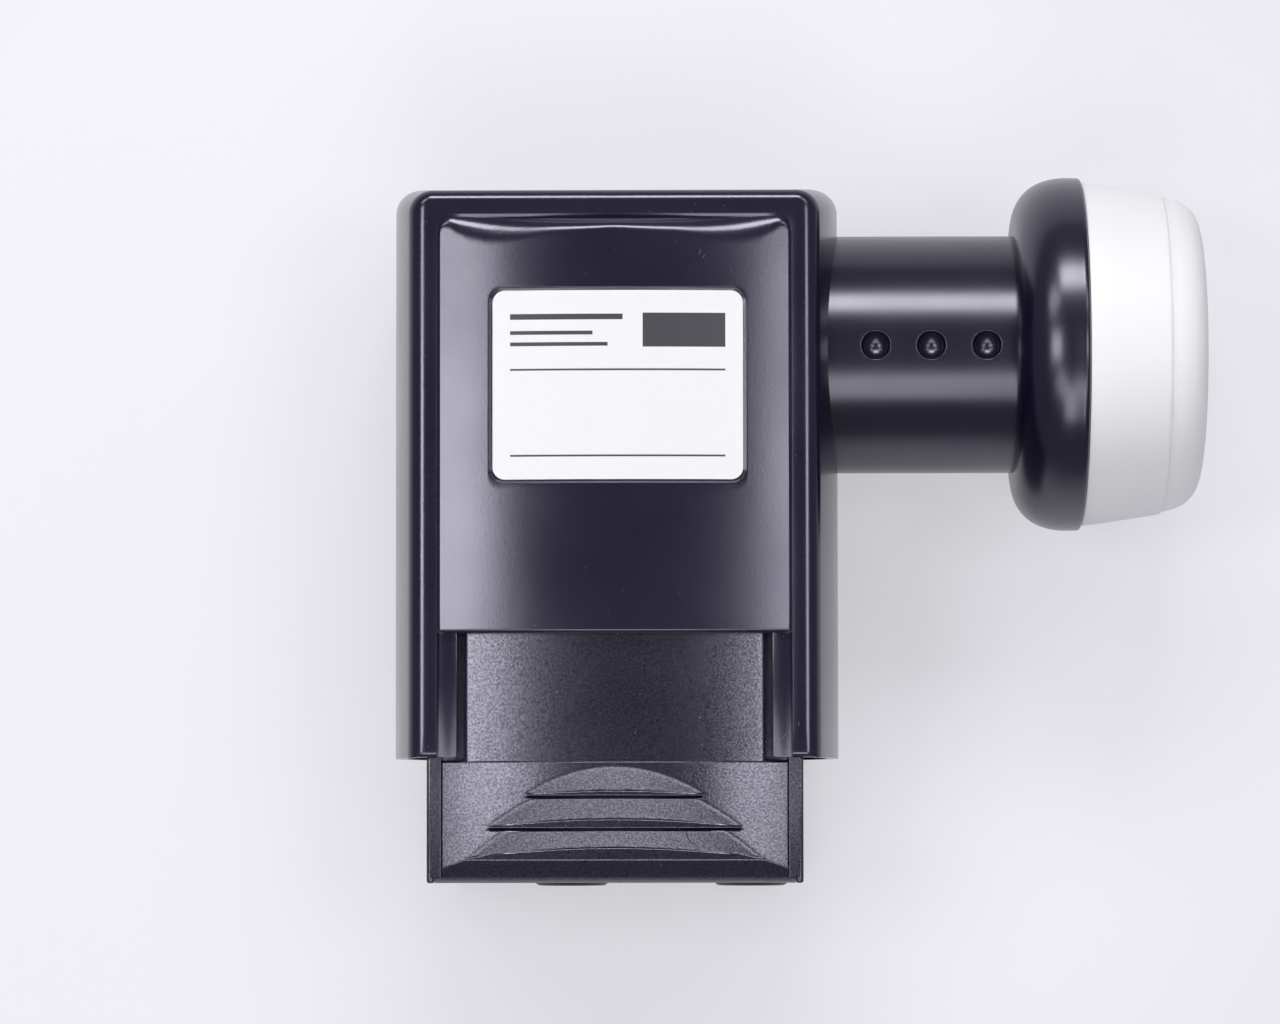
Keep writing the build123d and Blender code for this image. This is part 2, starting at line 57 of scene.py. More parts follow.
class Body(Enum):
    """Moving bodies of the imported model."""

    HOUSING = "housing"
    SHIELD = "weather_shield"
    CAP_2 = "dust_cap_2"
    CAP_4 = "dust_cap_4"


class Sheen(Enum):
    """How finely a moulded surface is spark-eroded, as grain cells per metre."""

    SMOOTH = 2600.0
    SATIN = 2100.0
    GRAINED = 3000.0


@dataclass(frozen=True)
class MouldedPlastic:
    """Moulded plastic with a fine grain, slight colour drift and a little settled dust."""

    name: str
    colour: tuple[float, float, float]
    roughness: float
    sheen: Sheen
    grain_height: float
    dust: float = 0.0
    ior: float = 1.5
    gloss_tint: tuple[float, float, float] = (1.0, 1.0, 1.0)
    drift: float = 0.1
    stipple: float = 0.0

    DUST = (0.55, 0.54, 0.56, 1.0)
    DRIFT_CELLS = 45.0
    SPECK_CELLS = 420.0
    SPECK_CORE = 0.045
    SPECK_EDGE = 0.06
    STIPPLE_SPAN = (0.36, 0.62)

    def build(self) -> bpy.types.Material:
        """Make the material.

        Returns:
            The node material on Object coordinates.
        """
        board = NodeBoard(self.name)
        coords = board.add("ShaderNodeTexCoord")
        drift = board.add("ShaderNodeTexNoise", {"Scale": self.DRIFT_CELLS, "Detail": 3.0})
        grain = board.add("ShaderNodeTexNoise", {"Scale": self.sheen.value, "Detail": 2.0, "Roughness": 0.6})
        specks = board.add("ShaderNodeTexVoronoi", {"Scale": self.SPECK_CELLS, "Randomness": 1.0})
        for node in (drift, grain, specks):
            board.link(coords, "Object", node, "Vector")
        shade = board.ramp((
            (0.25, scaled(self.colour, 1 - self.drift)), (0.75, scaled(self.colour, 1 + self.drift))))
        board.link(drift, "Fac", shade, "Fac")
        board.vary_gloss(drift, self.roughness, (0.25, 0.75))
        board.emboss(grain, 1.0, self.grain_height)
        board.shader.inputs["IOR"].default_value = self.ior
        board.shader.inputs["Specular Tint"].default_value = (*self.gloss_tint, 1.0)
        ground, out = shade, "Color"
        if self.stipple:
            ground, out = self._stipple(board, grain, shade), MIX_RESULT
        speck_mask = board.ramp((
            (0.0, (self.dust,) * 3), (self.SPECK_CORE, (self.dust * 0.5,) * 3),
            (self.SPECK_EDGE, (0.0,) * 3)))
        board.link(specks, "Distance", speck_mask, "Fac")
        dusty = board.mix("MIX")
        board.link(speck_mask, "Color", dusty, MIX_SHARE)
        board.link(ground, out, dusty, MIX_FIRST)
        dusty.inputs[MIX_SECOND].default_value = self.DUST
        board.link(dusty, MIX_RESULT, board.shader, "Base Color")
        return board.material

    def _stipple(self, board: "NodeBoard", grain: bpy.types.Node, shade: bpy.types.Node) -> bpy.types.Node:
        """Let the grain fleck the colour and the gloss.

        Args:
            board: The material being made.
            grain: Noise of the grain.
            shade: Ramp that gives the colour.

        Returns:
            The mix node that gives the flecked colour.
        """
        low, high = self.STIPPLE_SPAN
        mask = board.ramp(((low, (1 - self.stipple,) * 3), (high, (1 + self.stipple,) * 3)))
        sparkle = board.ramp(((low, scaled(self.gloss_tint, 1 - self.stipple)), (high, self.gloss_tint)))
        fleck = board.mix("MULTIPLY")
        board.link(grain, "Fac", mask, "Fac")
        board.link(grain, "Fac", sparkle, "Fac")
        board.link(shade, "Color", fleck, MIX_FIRST)
        board.link(mask, "Color", fleck, MIX_SECOND)
        board.link(sparkle, "Color", board.shader, "Specular Tint")
        return fleck


@dataclass(frozen=True)
class PlatedMetal:
    """Plated or cast metal with fine streaks."""

    name: str
    colour: tuple[float, float, float]
    roughness: float
    streak: float
    relief: float = 0.001
    mottle: float = 0.05

    def build(self) -> bpy.types.Material:
        """Make the material.

        Returns:
            The node material on Object coordinates.
        """
        board = NodeBoard(self.name)
        coords = board.add("ShaderNodeTexCoord")
        noise = board.add("ShaderNodeTexNoise", {"Scale": self.streak, "Detail": 5.0})
        shade = board.ramp((
            (0.3, scaled(self.colour, 1 - self.mottle)), (0.7, scaled(self.colour, 1 + self.mottle))))
        board.link(coords, "Object", noise, "Vector")
        board.link(noise, "Fac", shade, "Fac")
        board.link(shade, "Color", board.shader, "Base Color")
        board.vary_gloss(noise, self.roughness, (0.3, 0.7))
        board.emboss(noise, 0.5, self.relief)
        board.shader.inputs["Metallic"].default_value = 1.0
        return board.material


@dataclass(frozen=True)
class PrintedFilm:
    """White film with a plain generic print: one dark field and a few ruled bars."""

    name: str
    paper: tuple[float, float, float]
    ink: tuple[float, float, float]
    roughness: float = 0.42

    INKED = (
        (0.60, 0.93, 0.70, 0.88), (0.07, 0.52, 0.845, 0.875), (0.07, 0.40, 0.765, 0.785),
        (0.07, 0.46, 0.705, 0.725), (0.07, 0.93, 0.575, 0.585), (0.07, 0.93, 0.12, 0.13))

    def build(self) -> bpy.types.Material:
        """Make the material.

        Returns:
            The node material on the film's own UV map.
        """
        board = NodeBoard(self.name)
        coords = board.add("ShaderNodeTexCoord")
        split = board.add("ShaderNodeSeparateXYZ")
        board.link(coords, "UV", split, "Vector")
        fibre = board.add("ShaderNodeTexNoise", {"Scale": 900.0, "Detail": 2.0})
        board.link(coords, "Object", fibre, "Vector")
        shade = board.ramp(((0.3, scaled(self.paper, 0.985)), (0.7, self.paper)))
        board.link(fibre, "Fac", shade, "Fac")
        ground, out = shade, "Color"
        for box in self.INKED:
            printed = board.mix("MIX")
            board.link(self._box_mask(board, split, box), 0, printed, MIX_SHARE)
            board.link(ground, out, printed, MIX_FIRST)
            printed.inputs[MIX_SECOND].default_value = (*self.ink, 1.0)
            ground, out = printed, MIX_RESULT
        board.link(ground, out, board.shader, "Base Color")
        board.shader.inputs["Roughness"].default_value = self.roughness
        return board.material

    @staticmethod
    def _box_mask(board: "NodeBoard", split: bpy.types.Node, box: Sequence[float]) -> bpy.types.Node:
        """Mask of a rectangle on the film.

        Args:
            board: The material being made.
            split: Node that gives the film's coordinates.
            box: Left, right, low and high limits as shares of the film.

        Returns:
            The node that is one inside the rectangle.
        """
        left, right, low, high = box
        inside = None
        for axis, limit, kind in (("X", left, "GREATER_THAN"), ("X", right, "LESS_THAN"),
                                  ("Y", low, "GREATER_THAN"), ("Y", high, "LESS_THAN")):
            test = board.math(kind, limit)
            board.link(split, axis, test, 0)
            if inside:
                both = board.math("MULTIPLY", 1.0)
                board.link(inside, 0, both, 0)
                board.link(test, 0, both, 1)
                test = both
            inside = test
        return inside


class NodeBoard:
    """A new node material and short calls to fill it."""

    def __init__(self, name: str) -> None:
        """Start a material that holds one Principled shader.

        Args:
            name: Name of the material.
        """
        self.material = bpy.data.materials.new(name)
        self.material.use_nodes = True
        self.tree = self.material.node_tree
        self.shader = self.tree.nodes["Principled BSDF"]

    def add(self, kind: str, values: dict[str | int, float] | None = None) -> bpy.types.Node:
        """Add a node.

        Args:
            kind: Node type name.
            values: Input values by socket name.

        Returns:
            The new node.
        """
        node = self.tree.nodes.new(kind)
        for key, value in (values or {}).items():
            node.inputs[key].default_value = value
        return node

    def ramp(self, stops: Sequence[tuple[float, Sequence[float]]]) -> bpy.types.Node:
        """Add a colour ramp.

        Args:
            stops: Position and colour of each stop.

        Returns:
            The ramp node.
        """
        node = self.tree.nodes.new("ShaderNodeValToRGB")
        bar = node.color_ramp
        while len(bar.elements) < len(stops):
            bar.elements.new(0.5)
        for element, (place, colour) in zip(bar.elements, stops):
            element.position = place
            element.color = (*colour, 1.0)
        return node

    def mix(self, mode: str) -> bpy.types.Node:
        """Add a node that mixes two colours, in full until its share is linked.

        Args:
            mode: Blend mode.

        Returns:
            The mix node.
        """
        node = self.add("ShaderNodeMix", {MIX_SHARE: 1.0})
        node.data_type = "RGBA"
        node.blend_type = mode
        return node

    def math(self, operation: str, second: float) -> bpy.types.Node:
        """Add a Math node.

        Args:
            operation: What it works out.
            second: Its second value.

        Returns:
            The Math node.
        """
        node = self.add("ShaderNodeMath", {1: second})
        node.operation = operation
        return node

    def vary_gloss(self, noise: bpy.types.Node, roughness: float, span: tuple[float, float]) -> None:
        """Let a noise vary the roughness a little.

        Args:
            noise: Noise to follow.
            roughness: Middle value.
            span: Noise values between which the roughness changes.
        """
        gloss = self.add("ShaderNodeMapRange", {
            "From Min": span[0], "From Max": span[1],
            "To Min": roughness - GLOSS_SWING, "To Max": roughness + GLOSS_SWING})
        self.link(noise, "Fac", gloss, "Value")
        self.link(gloss, "Result", self.shader, "Roughness")

    def emboss(self, noise: bpy.types.Node, strength: float, height: float) -> None:
        """Let a noise raise the surface.

        Args:
            noise: Noise to follow.
            strength: Share of the bump that shows.
            height: Height of the grain in millimetres.
        """
        bump = self.add("ShaderNodeBump", {"Strength": strength, "Distance": height * MM})
        self.link(noise, "Fac", bump, "Height")
        self.link(bump, "Normal", self.shader, "Normal")

    def link(self, source: bpy.types.Node, out: str | int, target: bpy.types.Node, into: str | int) -> None:
        """Join two sockets by name or place."""
        self.tree.links.new(source.outputs[out], target.inputs[into])


def scaled(colour: Sequence[float], factor: float) -> tuple[float, float, float]:
    """Colour made lighter or darker by a factor."""
    return (colour[0] * factor, colour[1] * factor, colour[2] * factor)


def ring(count: int) -> list[float]:
    """Angles of evenly spaced points round a circle."""
    return [2 * math.pi * i / count for i in range(count)]


def spread(start: float, stop: float, count: int) -> list[float]:
    """Evenly spaced values with both ends included."""
    return [start + (stop - start) * i / (count - 1) for i in range(count)]


def smooth_profile(points: Sequence[tuple[float, float]], steps: int) -> list[tuple[float, float]]:
    """Catmull-Rom line through profile points.

    Args:
        points: Corner points of the profile.
        steps: Stretches between two neighbouring points.

    Returns:
        The refined profile.
    """
    ends = [points[0], *points, points[-1]]
    line = []
    for a, b, c, d in zip(ends[:-3], ends[1:-2], ends[2:-1], ends[3:]):
        for i in range(steps):
            t = i / steps
            line.append(tuple(
                0.5 * (2 * q + (r - p) * t + (2 * p - 5 * q + 4 * r - s) * t ** 2
                       + (3 * q - p - 3 * r + s) * t ** 3)
                for p, q, r, s in zip(a, b, c, d)))
    line.append(tuple(points[-1]))
    return line


class MeshDraft:
    """Vertices and faces in millimetres that become one piece in metres."""

    def __init__(self) -> None:
        """Start empty."""
        self.points: list[Point] = []
        self.faces: list[tuple[int, ...]] = []

    def row(self, points: Sequence[Point]) -> list[int]:
        """Add points.

        Args:
            points: Points in millimetres.

        Returns:
            Their numbers.
        """
        first = len(self.points)
        self.points.extend(points)
        return list(range(first, first + len(points)))

    def skin(self, rows: Sequence[Sequence[Point]], around: bool = False,
             along: bool = False) -> list[list[int]]:
        """Add quads between neighbouring rows of points.

        Args:
            rows: Rows with equal numbers of points.
            around: Whether each row closes on itself.
            along: Whether the last row joins the first.

        Returns:
            Point numbers of every row.
        """
        numbers = [self.row(r) for r in rows]
        pairs = list(zip(numbers[:-1], numbers[1:]))
        if along:
            pairs.append((numbers[-1], numbers[0]))
        for low, high in pairs:
            count = len(low)
            for i in range(count if around else count - 1):
                j = (i + 1) % count
                self.faces.append((low[i], low[j], high[j], high[i]))
        return numbers

    def cap(self, loop: Sequence[int]) -> None:
        """Close a loop of points with one face."""
        self.faces.append(tuple(loop))

    def solid(self, rows: Sequence[Sequence[Point]]) -> None:
        """Add a closed body through rings of points.

        Args:
            rows: Rings with equal numbers of points, of which the first and the last are capped.
        """
        numbers = self.skin(rows, around=True)
        self.cap(numbers[0])
        self.cap(numbers[-1])

    def slab(self, box: Sequence[float], radius: float) -> None:
        """Add a box with rounded edges.

        Args:
            box: Limits u0, u1, y0, y1, z0, z1, with u from the housing centre line.
            radius: Edge radius.
        """
        u0, u1, y0, y1, z0, z1 = box
        block = bmesh.new()
        bmesh.ops.create_cube(block, size=1.0)
        size = Matrix.Diagonal((u1 - u0, y1 - y0, z1 - z0, 1.0))
        place = Matrix.Translation((CENTRE_X + (u0 + u1) / 2, (y0 + y1) / 2, (z0 + z1) / 2))
        bmesh.ops.transform(block, matrix=place @ size, verts=block.verts)
        bmesh.ops.bevel(block, geom=block.edges[:], offset=radius, segments=3, profile=0.5, affect="EDGES")
        self.absorb(block)

    def absorb(self, source: bmesh.types.BMesh) -> None:
        """Take over a bmesh and free it.

        Args:
            source: Mesh in millimetres.
        """
        source.verts.index_update()
        first = len(self.points)
        self.points.extend(tuple(v.co) for v in source.verts)
        self.faces.extend(tuple(first + v.index for v in f.verts) for f in source.faces)
        source.free()

    def piece(self, name: str, finish: bpy.types.Material, sharp_deg: float = 32.0) -> bpy.types.Object:
        """Make the piece.

        Args:
            name: Piece name.
            finish: Its material.
            sharp_deg: Angle past which an edge stays sharp.

        Returns:
            The new object at the origin.
        """
        mesh = bpy.data.meshes.new(name)
        mesh.from_pydata([Vector(p) * MM for p in self.points], [], self.faces)
        work = bmesh.new()
        work.from_mesh(mesh)
        bmesh.ops.remove_doubles(work, verts=work.verts[:], dist=0.0005 * MM)
        bmesh.ops.dissolve_degenerate(work, edges=work.edges[:], dist=0.0002 * MM)
        bmesh.ops.recalc_face_normals(work, faces=work.faces[:])
        work.to_mesh(mesh)
        work.free()
        mesh.shade_smooth()
        mesh.set_sharp_from_angle(angle=math.radians(sharp_deg))
        mesh.materials.append(finish)
        made = bpy.data.objects.new(name, mesh)
        bpy.context.scene.collection.objects.link(made)
        return made


def turned_rows(profile: Sequence[tuple[float, float]], segments: int) -> list[list[Point]]:
    """Rows of a body turned about the neck axis.

    Args:
        profile: Points as (x, radius).
        segments: Steps round the axis.

    Returns:
        One closed row for every profile point.
    """
    return [[(x, r * math.sin(a), r * math.cos(a)) for a in ring(segments)] for x, r in profile]


def neck_hole() -> MeshDraft:
    """Round hole that the neck passes through.

    Returns:
        The draft of the hole.
    """
    draft = MeshDraft()
    draft.solid(turned_rows(((-26.0, NECK_HOLE_R), (4.0, NECK_HOLE_R)), 160))
    return draft


def bored(piece: bpy.types.Object, cutter: bpy.types.Object) -> None:
    """Cut one mesh with another and throw the cutter away.

    Args:
        piece: The mesh that keeps the hole.
        cutter: Closed mesh of the hole.
    """
    cut = piece.modifiers.new("bore", "BOOLEAN")
    cut.operation = "DIFFERENCE"
    cut.solver = "EXACT"
    cut.object = cutter
    bpy.context.view_layer.update()
    seen = piece.evaluated_get(bpy.context.evaluated_depsgraph_get())
    mesh = bpy.data.meshes.new_from_object(seen)
    piece.modifiers.remove(cut)
    piece.data = mesh
    bpy.data.objects.remove(cutter)


@dataclass
class Housing:
    """Shared outer form of the two covers."""

    half: float = 37.2
    bulge_r: float = 102.0
    top_y: float = 27.6
    end_y: float = -68.15
    draft: float = 0.06
    end_bulge_r: float = 400.0
    corner: float = 3.8
    face_corner: float = 0.9
    wall: float = 2.0
    side_rows: int = 26
    corner_steps: int = 10
    top_columns: int = 30
    end_round: float = 0.9

    def side(self, z: float) -> float:
        """Half width of the bowed side at height z."""
        return self.half - self.bulge_r + math.sqrt(self.bulge_r ** 2 - z * z)

    def top(self, z: float) -> float:
        """Place of the upper end wall at height z."""
        return self.top_y - self.draft * abs(z) - z * z / (2 * self.end_bulge_r)

    def path(self, half: float, top: float, corner: float, side_z: float, top_z: float) -> list[Point]:
        """Line from one arm's end round the upper end to the other arm's end.

        Args:
            half: Half width at the sides.
            top: Place of the upper end.
            corner: Plan radius of the upper corners.
            side_z: Height along the sides.
            top_z: Height along the upper end.

        Returns:
            Points from the left arm to the right arm.
        """
        offsets = [self.end_round * (1 - math.cos(math.radians(a))) for a in (0, 22, 45, 67, 90)]
        start = self.end_y + self.end_round
        rows = [self.end_y + d for d in offsets]
        rows += spread(start, top - corner, self.side_rows)[1:]
        points = [(CENTRE_X - half, y, side_z) for y in rows]
        for i in range(1, self.corner_steps):
            share = i / self.corner_steps
            turn = math.radians(90 * share)
            u = -half + corner - corner * math.cos(turn)
            y = top - corner + corner * math.sin(turn)
            points.append((CENTRE_X + u, y, side_z + (top_z - side_z) * share))
        columns = spread(-half + corner, half - corner, self.top_columns)
        points += [(CENTRE_X + u, top, top_z) for u in columns]
        mirror = [(2 * CENTRE_X - x, y, z) for x, y, z in points[:-self.top_columns]]
        return points + mirror[::-1]

    def outer_rows(self, way: int, far: float, side_r: float, top_r: float) -> list[list[Point]]:
        """Rows up the wall and round its edge to the flat face.

        Args:
            way: 1 for the front cover, -1 for the rear.
            far: Height of the flat face.
            side_r: Edge radius along the sides.
            top_r: Edge radius along the upper end.

        Returns:
            Rows from the parting line to the face.
        """
        side_cz = far - side_r
        side_cu = self.half - self.bulge_r + math.sqrt((self.bulge_r - side_r) ** 2 - side_cz ** 2)
        side_low = math.asin(side_cz / (self.bulge_r - side_r))
        top_cz = far - top_r
        top_cy = self.top(top_cz) - top_r
        side_touch = side_cz + side_r * math.sin(side_low)
        rows = [self.path(self.half - 0.3, self.top_y - 0.3, self.corner - 0.3, 0.0, 0.0)]
        for share in (0.012, 0.1, 0.2, 0.3, 0.4, 0.5, 0.6, 0.7, 0.8, 0.9):
            side_z = side_touch * share
            top_z = top_cz * share
            rows.append(self.path(self.side(side_z), self.top(top_z), self.corner, way * side_z, way * top_z))
        for step in range(13):
            share = step / 12
            side_turn = side_low + (math.pi / 2 - side_low) * share
            top_turn = math.pi / 2 * share
            side_u = side_cu + side_r * math.cos(side_turn)
            top_y = top_cy + top_r * math.cos(top_turn)
            corner = self.corner - (self.corner - self.face_corner) * (1 - math.cos(top_turn))
            side_z = side_cz + side_r * math.sin(side_turn)
            top_z = top_cz + top_r * math.sin(top_turn)
            rows.append(self.path(side_u, top_y, corner, way * side_z, way * top_z))
        return rows

    def rounded_ends(self, rows: list[list[Point]], far: float) -> list[list[Point]]:
        """Let the face fall away at the arms' ends.

        Args:
            rows: Rows of a cover.
            far: Height of its flat face.

        Returns:
            The rows with rounded ends.
        """
        r = self.end_round
        done = []
        for row in rows:
            line = []
            for x, y, z in row:
                run = y - self.end_y
                if run < r:
                    limit = abs(far) - r + math.sqrt(max(r * r - (r - run) ** 2, 0.0))
                    z = math.copysign(min(abs(z), limit), z) if z else z
                line.append((x, y, z))
            done.append(line)
        return done


@dataclass
class FrontCover:
    """Front cover: frame with two arms, raised panel and ledges beside the window."""

    housing: Housing
    face_z: float = 28.0
    side_r: float = 3.0
    top_r: float = 2.0
    ceiling_z: float = 25.5
    inner_half: float = 29.1
    inner_top: float = 21.1
    inner_corner: float = 2.8
    flange: float = 0.29
    top_flange: float = 0.44
    panel_half: float = 28.75
    panel_top: float = 20.65
    panel_low: float = -47.8
    panel_corner: float = 2.5
    panel_r: float = 166.0
    crown_z: float = 30.65
    groove_z: float = 27.98
    label_u: float = 0.6
    label_y: float = -7.25
    recess_w: float = 41.9
    recess_h: float = 31.9
    recess_r: float = 2.4
    recess_depth: float = 0.2
    ledge_in: float = 25.8
    ledge_out: float = 29.1
    ledge_z: float = 27.0
    ledge_lean: float = 0.42

    ROLL = ((0.0, 2.9), (10.6, 3.9), (15.5, 5.0), (20.0, 5.4), (23.2, 4.8), (25.9, 3.4), (27.3, 2.0),
            (28.1, 1.2), (28.75, 0.7))
    SINK = ((0.0, 0.2), (22.0, 0.2), (26.0, 0.12), (27.5, 0.0))
    RECESS_RIM = ((0.12, 0.015), (0.05, 0.05), (0.01, 0.11), (0.0, 0.17))

    def frame_draft(self) -> MeshDraft:
        """Frame as a closed band swept round the housing.

        Returns:
            The draft of the frame.
        """
        form = self.housing
        rows = form.rounded_ends(form.outer_rows(1, self.face_z, self.side_r, self.top_r), self.face_z)
        lip = 0.06
        for turn in (0, 30, 60, 90):
            out = lip * (1 - math.sin(math.radians(turn)))
            low = lip * (1 - math.cos(math.radians(turn)))
            rows.append(form.path(self.inner_half + out, self.inner_top + out, self.inner_corner + out,
                                  self.face_z - low, self.face_z - low))
        rows[-4:] = form.rounded_ends(rows[-4:], self.face_z)
        ceiling = self.ceiling_z
        rows.append(form.path(self.inner_half, self.inner_top, self.inner_corner, ceiling, ceiling))
        for z in (self.ceiling_z, 20.0, 15.0, 10.0, 5.0, 0.0):
            half = form.side(z) - form.wall
            top = form.top(z) - form.wall
            rows.append(form.path(half, top, form.corner - form.wall, z, z))
        draft = MeshDraft()
        numbers = draft.skin(rows, along=True)
        draft.cap([row[0] for row in numbers])
        draft.cap([row[-1] for row in numbers])
        return draft

    def crown(self, u: float) -> float:
        """Height of the convex panel at u."""
        return self.crown_z - self.panel_r + math.sqrt(self.panel_r ** 2 - u * u)

    def panel_height(self, u: float, y: float) -> float:
        """Height of the panel with its rolled upper end and rounded edges.

        Args:
            u: Distance from the centre line.
            y: Place along the housing.

        Returns:
            Height in millimetres.
        """
        z = self.crown(u)
        top_run = self.panel_top - y
        over = abs(u) - (self.panel_half - self.panel_corner)
        if over > 0:
            top_run -= self.panel_corner - math.sqrt(max(self.panel_corner ** 2 - over * over, 0.0))
        depth = float(np.interp(abs(u), *zip(*self.ROLL)))
        share = min(max(top_run / depth, 0.0), 1.0)
        low = self.groove_z - float(np.interp(abs(u), *zip(*self.SINK)))
        z = low + (z - low) * (1 - (1 - share) ** 3)
        side_run = self.panel_half - abs(u)
        z = min(z, self.crown(u) - self.edge_drop(side_run, 0.16))
        z = min(z, self.crown(u) - self.edge_drop(y - self.panel_low, 0.6))
        return max(z, low)

    @staticmethod
    def edge_drop(run: float, radius: float) -> float:
        """Work out the drop of a rounded edge.

        Args:
            run: Distance in from the edge.
            radius: Radius of the rounding.

        Returns:
            The drop.
        """
        if run >= radius:
            return 0.0
        return radius - math.sqrt(max(radius ** 2 - (radius - max(run, 0.0)) ** 2, 0.0))

    @staticmethod
    def plan_loop(box: Sequence[float], top_corner: float, low_corner: float) -> list[tuple[float, float]]:
        """Closed plan line of a rectangle with rounded corners.

        Args:
            box: Limits u0, u1, y0, y1.
            top_corner: Radius at the upper corners.
            low_corner: Radius at the lower corners.

        Returns:
            Plan points, the same number whatever the box.
        """
        u0, u1, y0, y1 = box
        corners = (
            (u1 - low_corner, y0 + low_corner, low_corner, -90),
            (u1 - top_corner, y1 - top_corner, top_corner, 0),
            (u0 + top_corner, y1 - top_corner, top_corner, 90),
            (u0 + low_corner, y0 + low_corner, low_corner, 180))
        counts = (44, 48, 44, 48)
        line = []
        for k, (cu, cy, r, start) in enumerate(corners):
            arc = [math.radians(start + 90 * i / 9) for i in range(10)]
            line += [(cu + r * math.cos(a), cy + r * math.sin(a)) for a in arc]
            nu, ny, nr, nstart = corners[(k + 1) % 4]
            turn = math.radians(nstart)
            first = Vector(line[-1])
            last = Vector((nu + nr * math.cos(turn), ny + nr * math.sin(turn)))
            line += [tuple(first.lerp(last, i / counts[k])) for i in range(1, counts[k])]
        return line

    def panel_draft(self) -> MeshDraft:
        """Panel as closed rings from its edge in to the label recess.

        Returns:
            The draft of the panel.
        """
        outer = (-self.panel_half, self.panel_half, self.panel_low, self.panel_top)
        inner = (self.label_u - self.recess_w / 2, self.label_u + self.recess_w / 2,
                 self.label_y - self.recess_h / 2, self.label_y + self.recess_h / 2)
        insets = [0.0, 0.03, 0.08, 0.15, 0.25, 0.38, *spread(0.5, 5.3, 33)]
        wide = (outer[0] - self.flange, outer[1] + self.flange, outer[2], outer[3] + self.top_flange)
        rings = []
        for z in (26.4, self.face_z - 0.015):
            rings.append([(u, y, z) for u, y in self.plan_loop(wide, self.panel_corner + self.flange, 0.3)])
        for inset in insets:
            box = (outer[0] + inset, outer[1] - inset, outer[2] + inset, outer[3] - inset)
            plan = self.plan_loop(box, max(self.panel_corner - inset * 0.5, 0.4), 0.3)
            rings.append([(u, y, self.panel_height(u, y)) for u, y in plan])
        last = insets[-1]
        edge = (outer[0] + last, outer[1] - last, outer[2] + last, outer[3] - last)
        rim = 0.22
        grown = (inner[0] - rim, inner[1] + rim, inner[2] - rim, inner[3] + rim)
        for i in range(1, 15):
            share = i / 14
            box = tuple(a + (b - a) * share for a, b in zip(edge, grown))
            r_top = 0.4 + (self.recess_r + rim - 0.4) * share
            r_low = 0.3 + (self.recess_r + rim - 0.3) * share
            plan = self.plan_loop(box, r_top, r_low)
            rings.append([(u, y, self.panel_height(u, y)) for u, y in plan])
        for grow, drop in (*self.RECESS_RIM, (-0.05, self.recess_depth)):
            box = (inner[0] - grow, inner[1] + grow, inner[2] - grow, inner[3] + grow)
            plan = self.plan_loop(box, self.recess_r + grow, self.recess_r + grow)
            rings.append([(u, y, self.crown(u) - drop) for u, y in plan])
        middle = (self.label_u, self.label_u, self.label_y, self.label_y)
        for share in (0.3, 0.6, 0.97):
            box = tuple(a + (b - a) * share for a, b in zip(inner, middle))
            corner = self.recess_r * (1 - share)
            plan = self.plan_loop(box, corner, corner)
            rings.append([(u, y, self.crown(u) - self.recess_depth) for u, y in plan])
        draft = MeshDraft()
        draft.solid([[(CENTRE_X + u, y, z) for u, y, z in loop] for loop in rings])
        return draft

    def ledge(self, draft: MeshDraft, side: int) -> None:
        """Add the ledge beside the window, which leans outwards.

        Args:
            draft: Draft that takes the ledge.
            side: 1 for the horn side, -1 for the other.
        """
        inner, outer, top = self.ledge_in, self.ledge_out + 0.4, self.ledge_z
        outline = ((inner, self.ceiling_z), (inner, top - 0.2), (inner + 0.06, top - 0.06),
                   (inner + 0.2, top), (outer, top - self.ledge_lean), (outer, self.ceiling_z))
        start = self.housing.end_y
        loops = []
        stop = self.panel_low + 0.6
        for y, drop in ((start, 0.2), (start + 0.06, 0.06), (start + 0.2, 0.0), (stop, 0.0)):
            loops.append([(CENTRE_X + side * u, y, max(z - drop, self.ceiling_z)) for u, z in outline])
        draft.solid(loops)

    def build(self, finish: bpy.types.Material) -> bpy.types.Object:
        """Make the cover.

        Args:
            finish: Material of the cover.

        Returns:
            The finished piece.
        """
        shell = self.frame_draft().piece("front_cover_shell", finish)
        bored(shell, neck_hole().piece("neck_hole", finish))
        draft = self.panel_draft()
        for side in (-1, 1):
            self.ledge(draft, side)
        return joined("front_cover_skin", [shell, draft.piece("front_panel", finish)])


def joined(name: str, parts: Sequence[bpy.types.Object]) -> bpy.types.Object:
    """Join meshes into one piece.

    Args:
        name: Name of the piece.
        parts: Meshes at the origin with the same material.

    Returns:
        The first mesh, holding all of them.
    """
    whole = bmesh.new()
    for part in parts:
        whole.from_mesh(part.data)
    keep = parts[0]
    mesh = bpy.data.meshes.new(name)
    whole.to_mesh(mesh)
    whole.free()
    mesh.materials.append(parts[0].data.materials[0])
    keep.data = mesh
    keep.name = name
    mesh.shade_smooth()
    mesh.set_sharp_from_angle(angle=math.radians(32.0))
    for part in parts[1:]:
        bpy.data.objects.remove(part)
    return keep


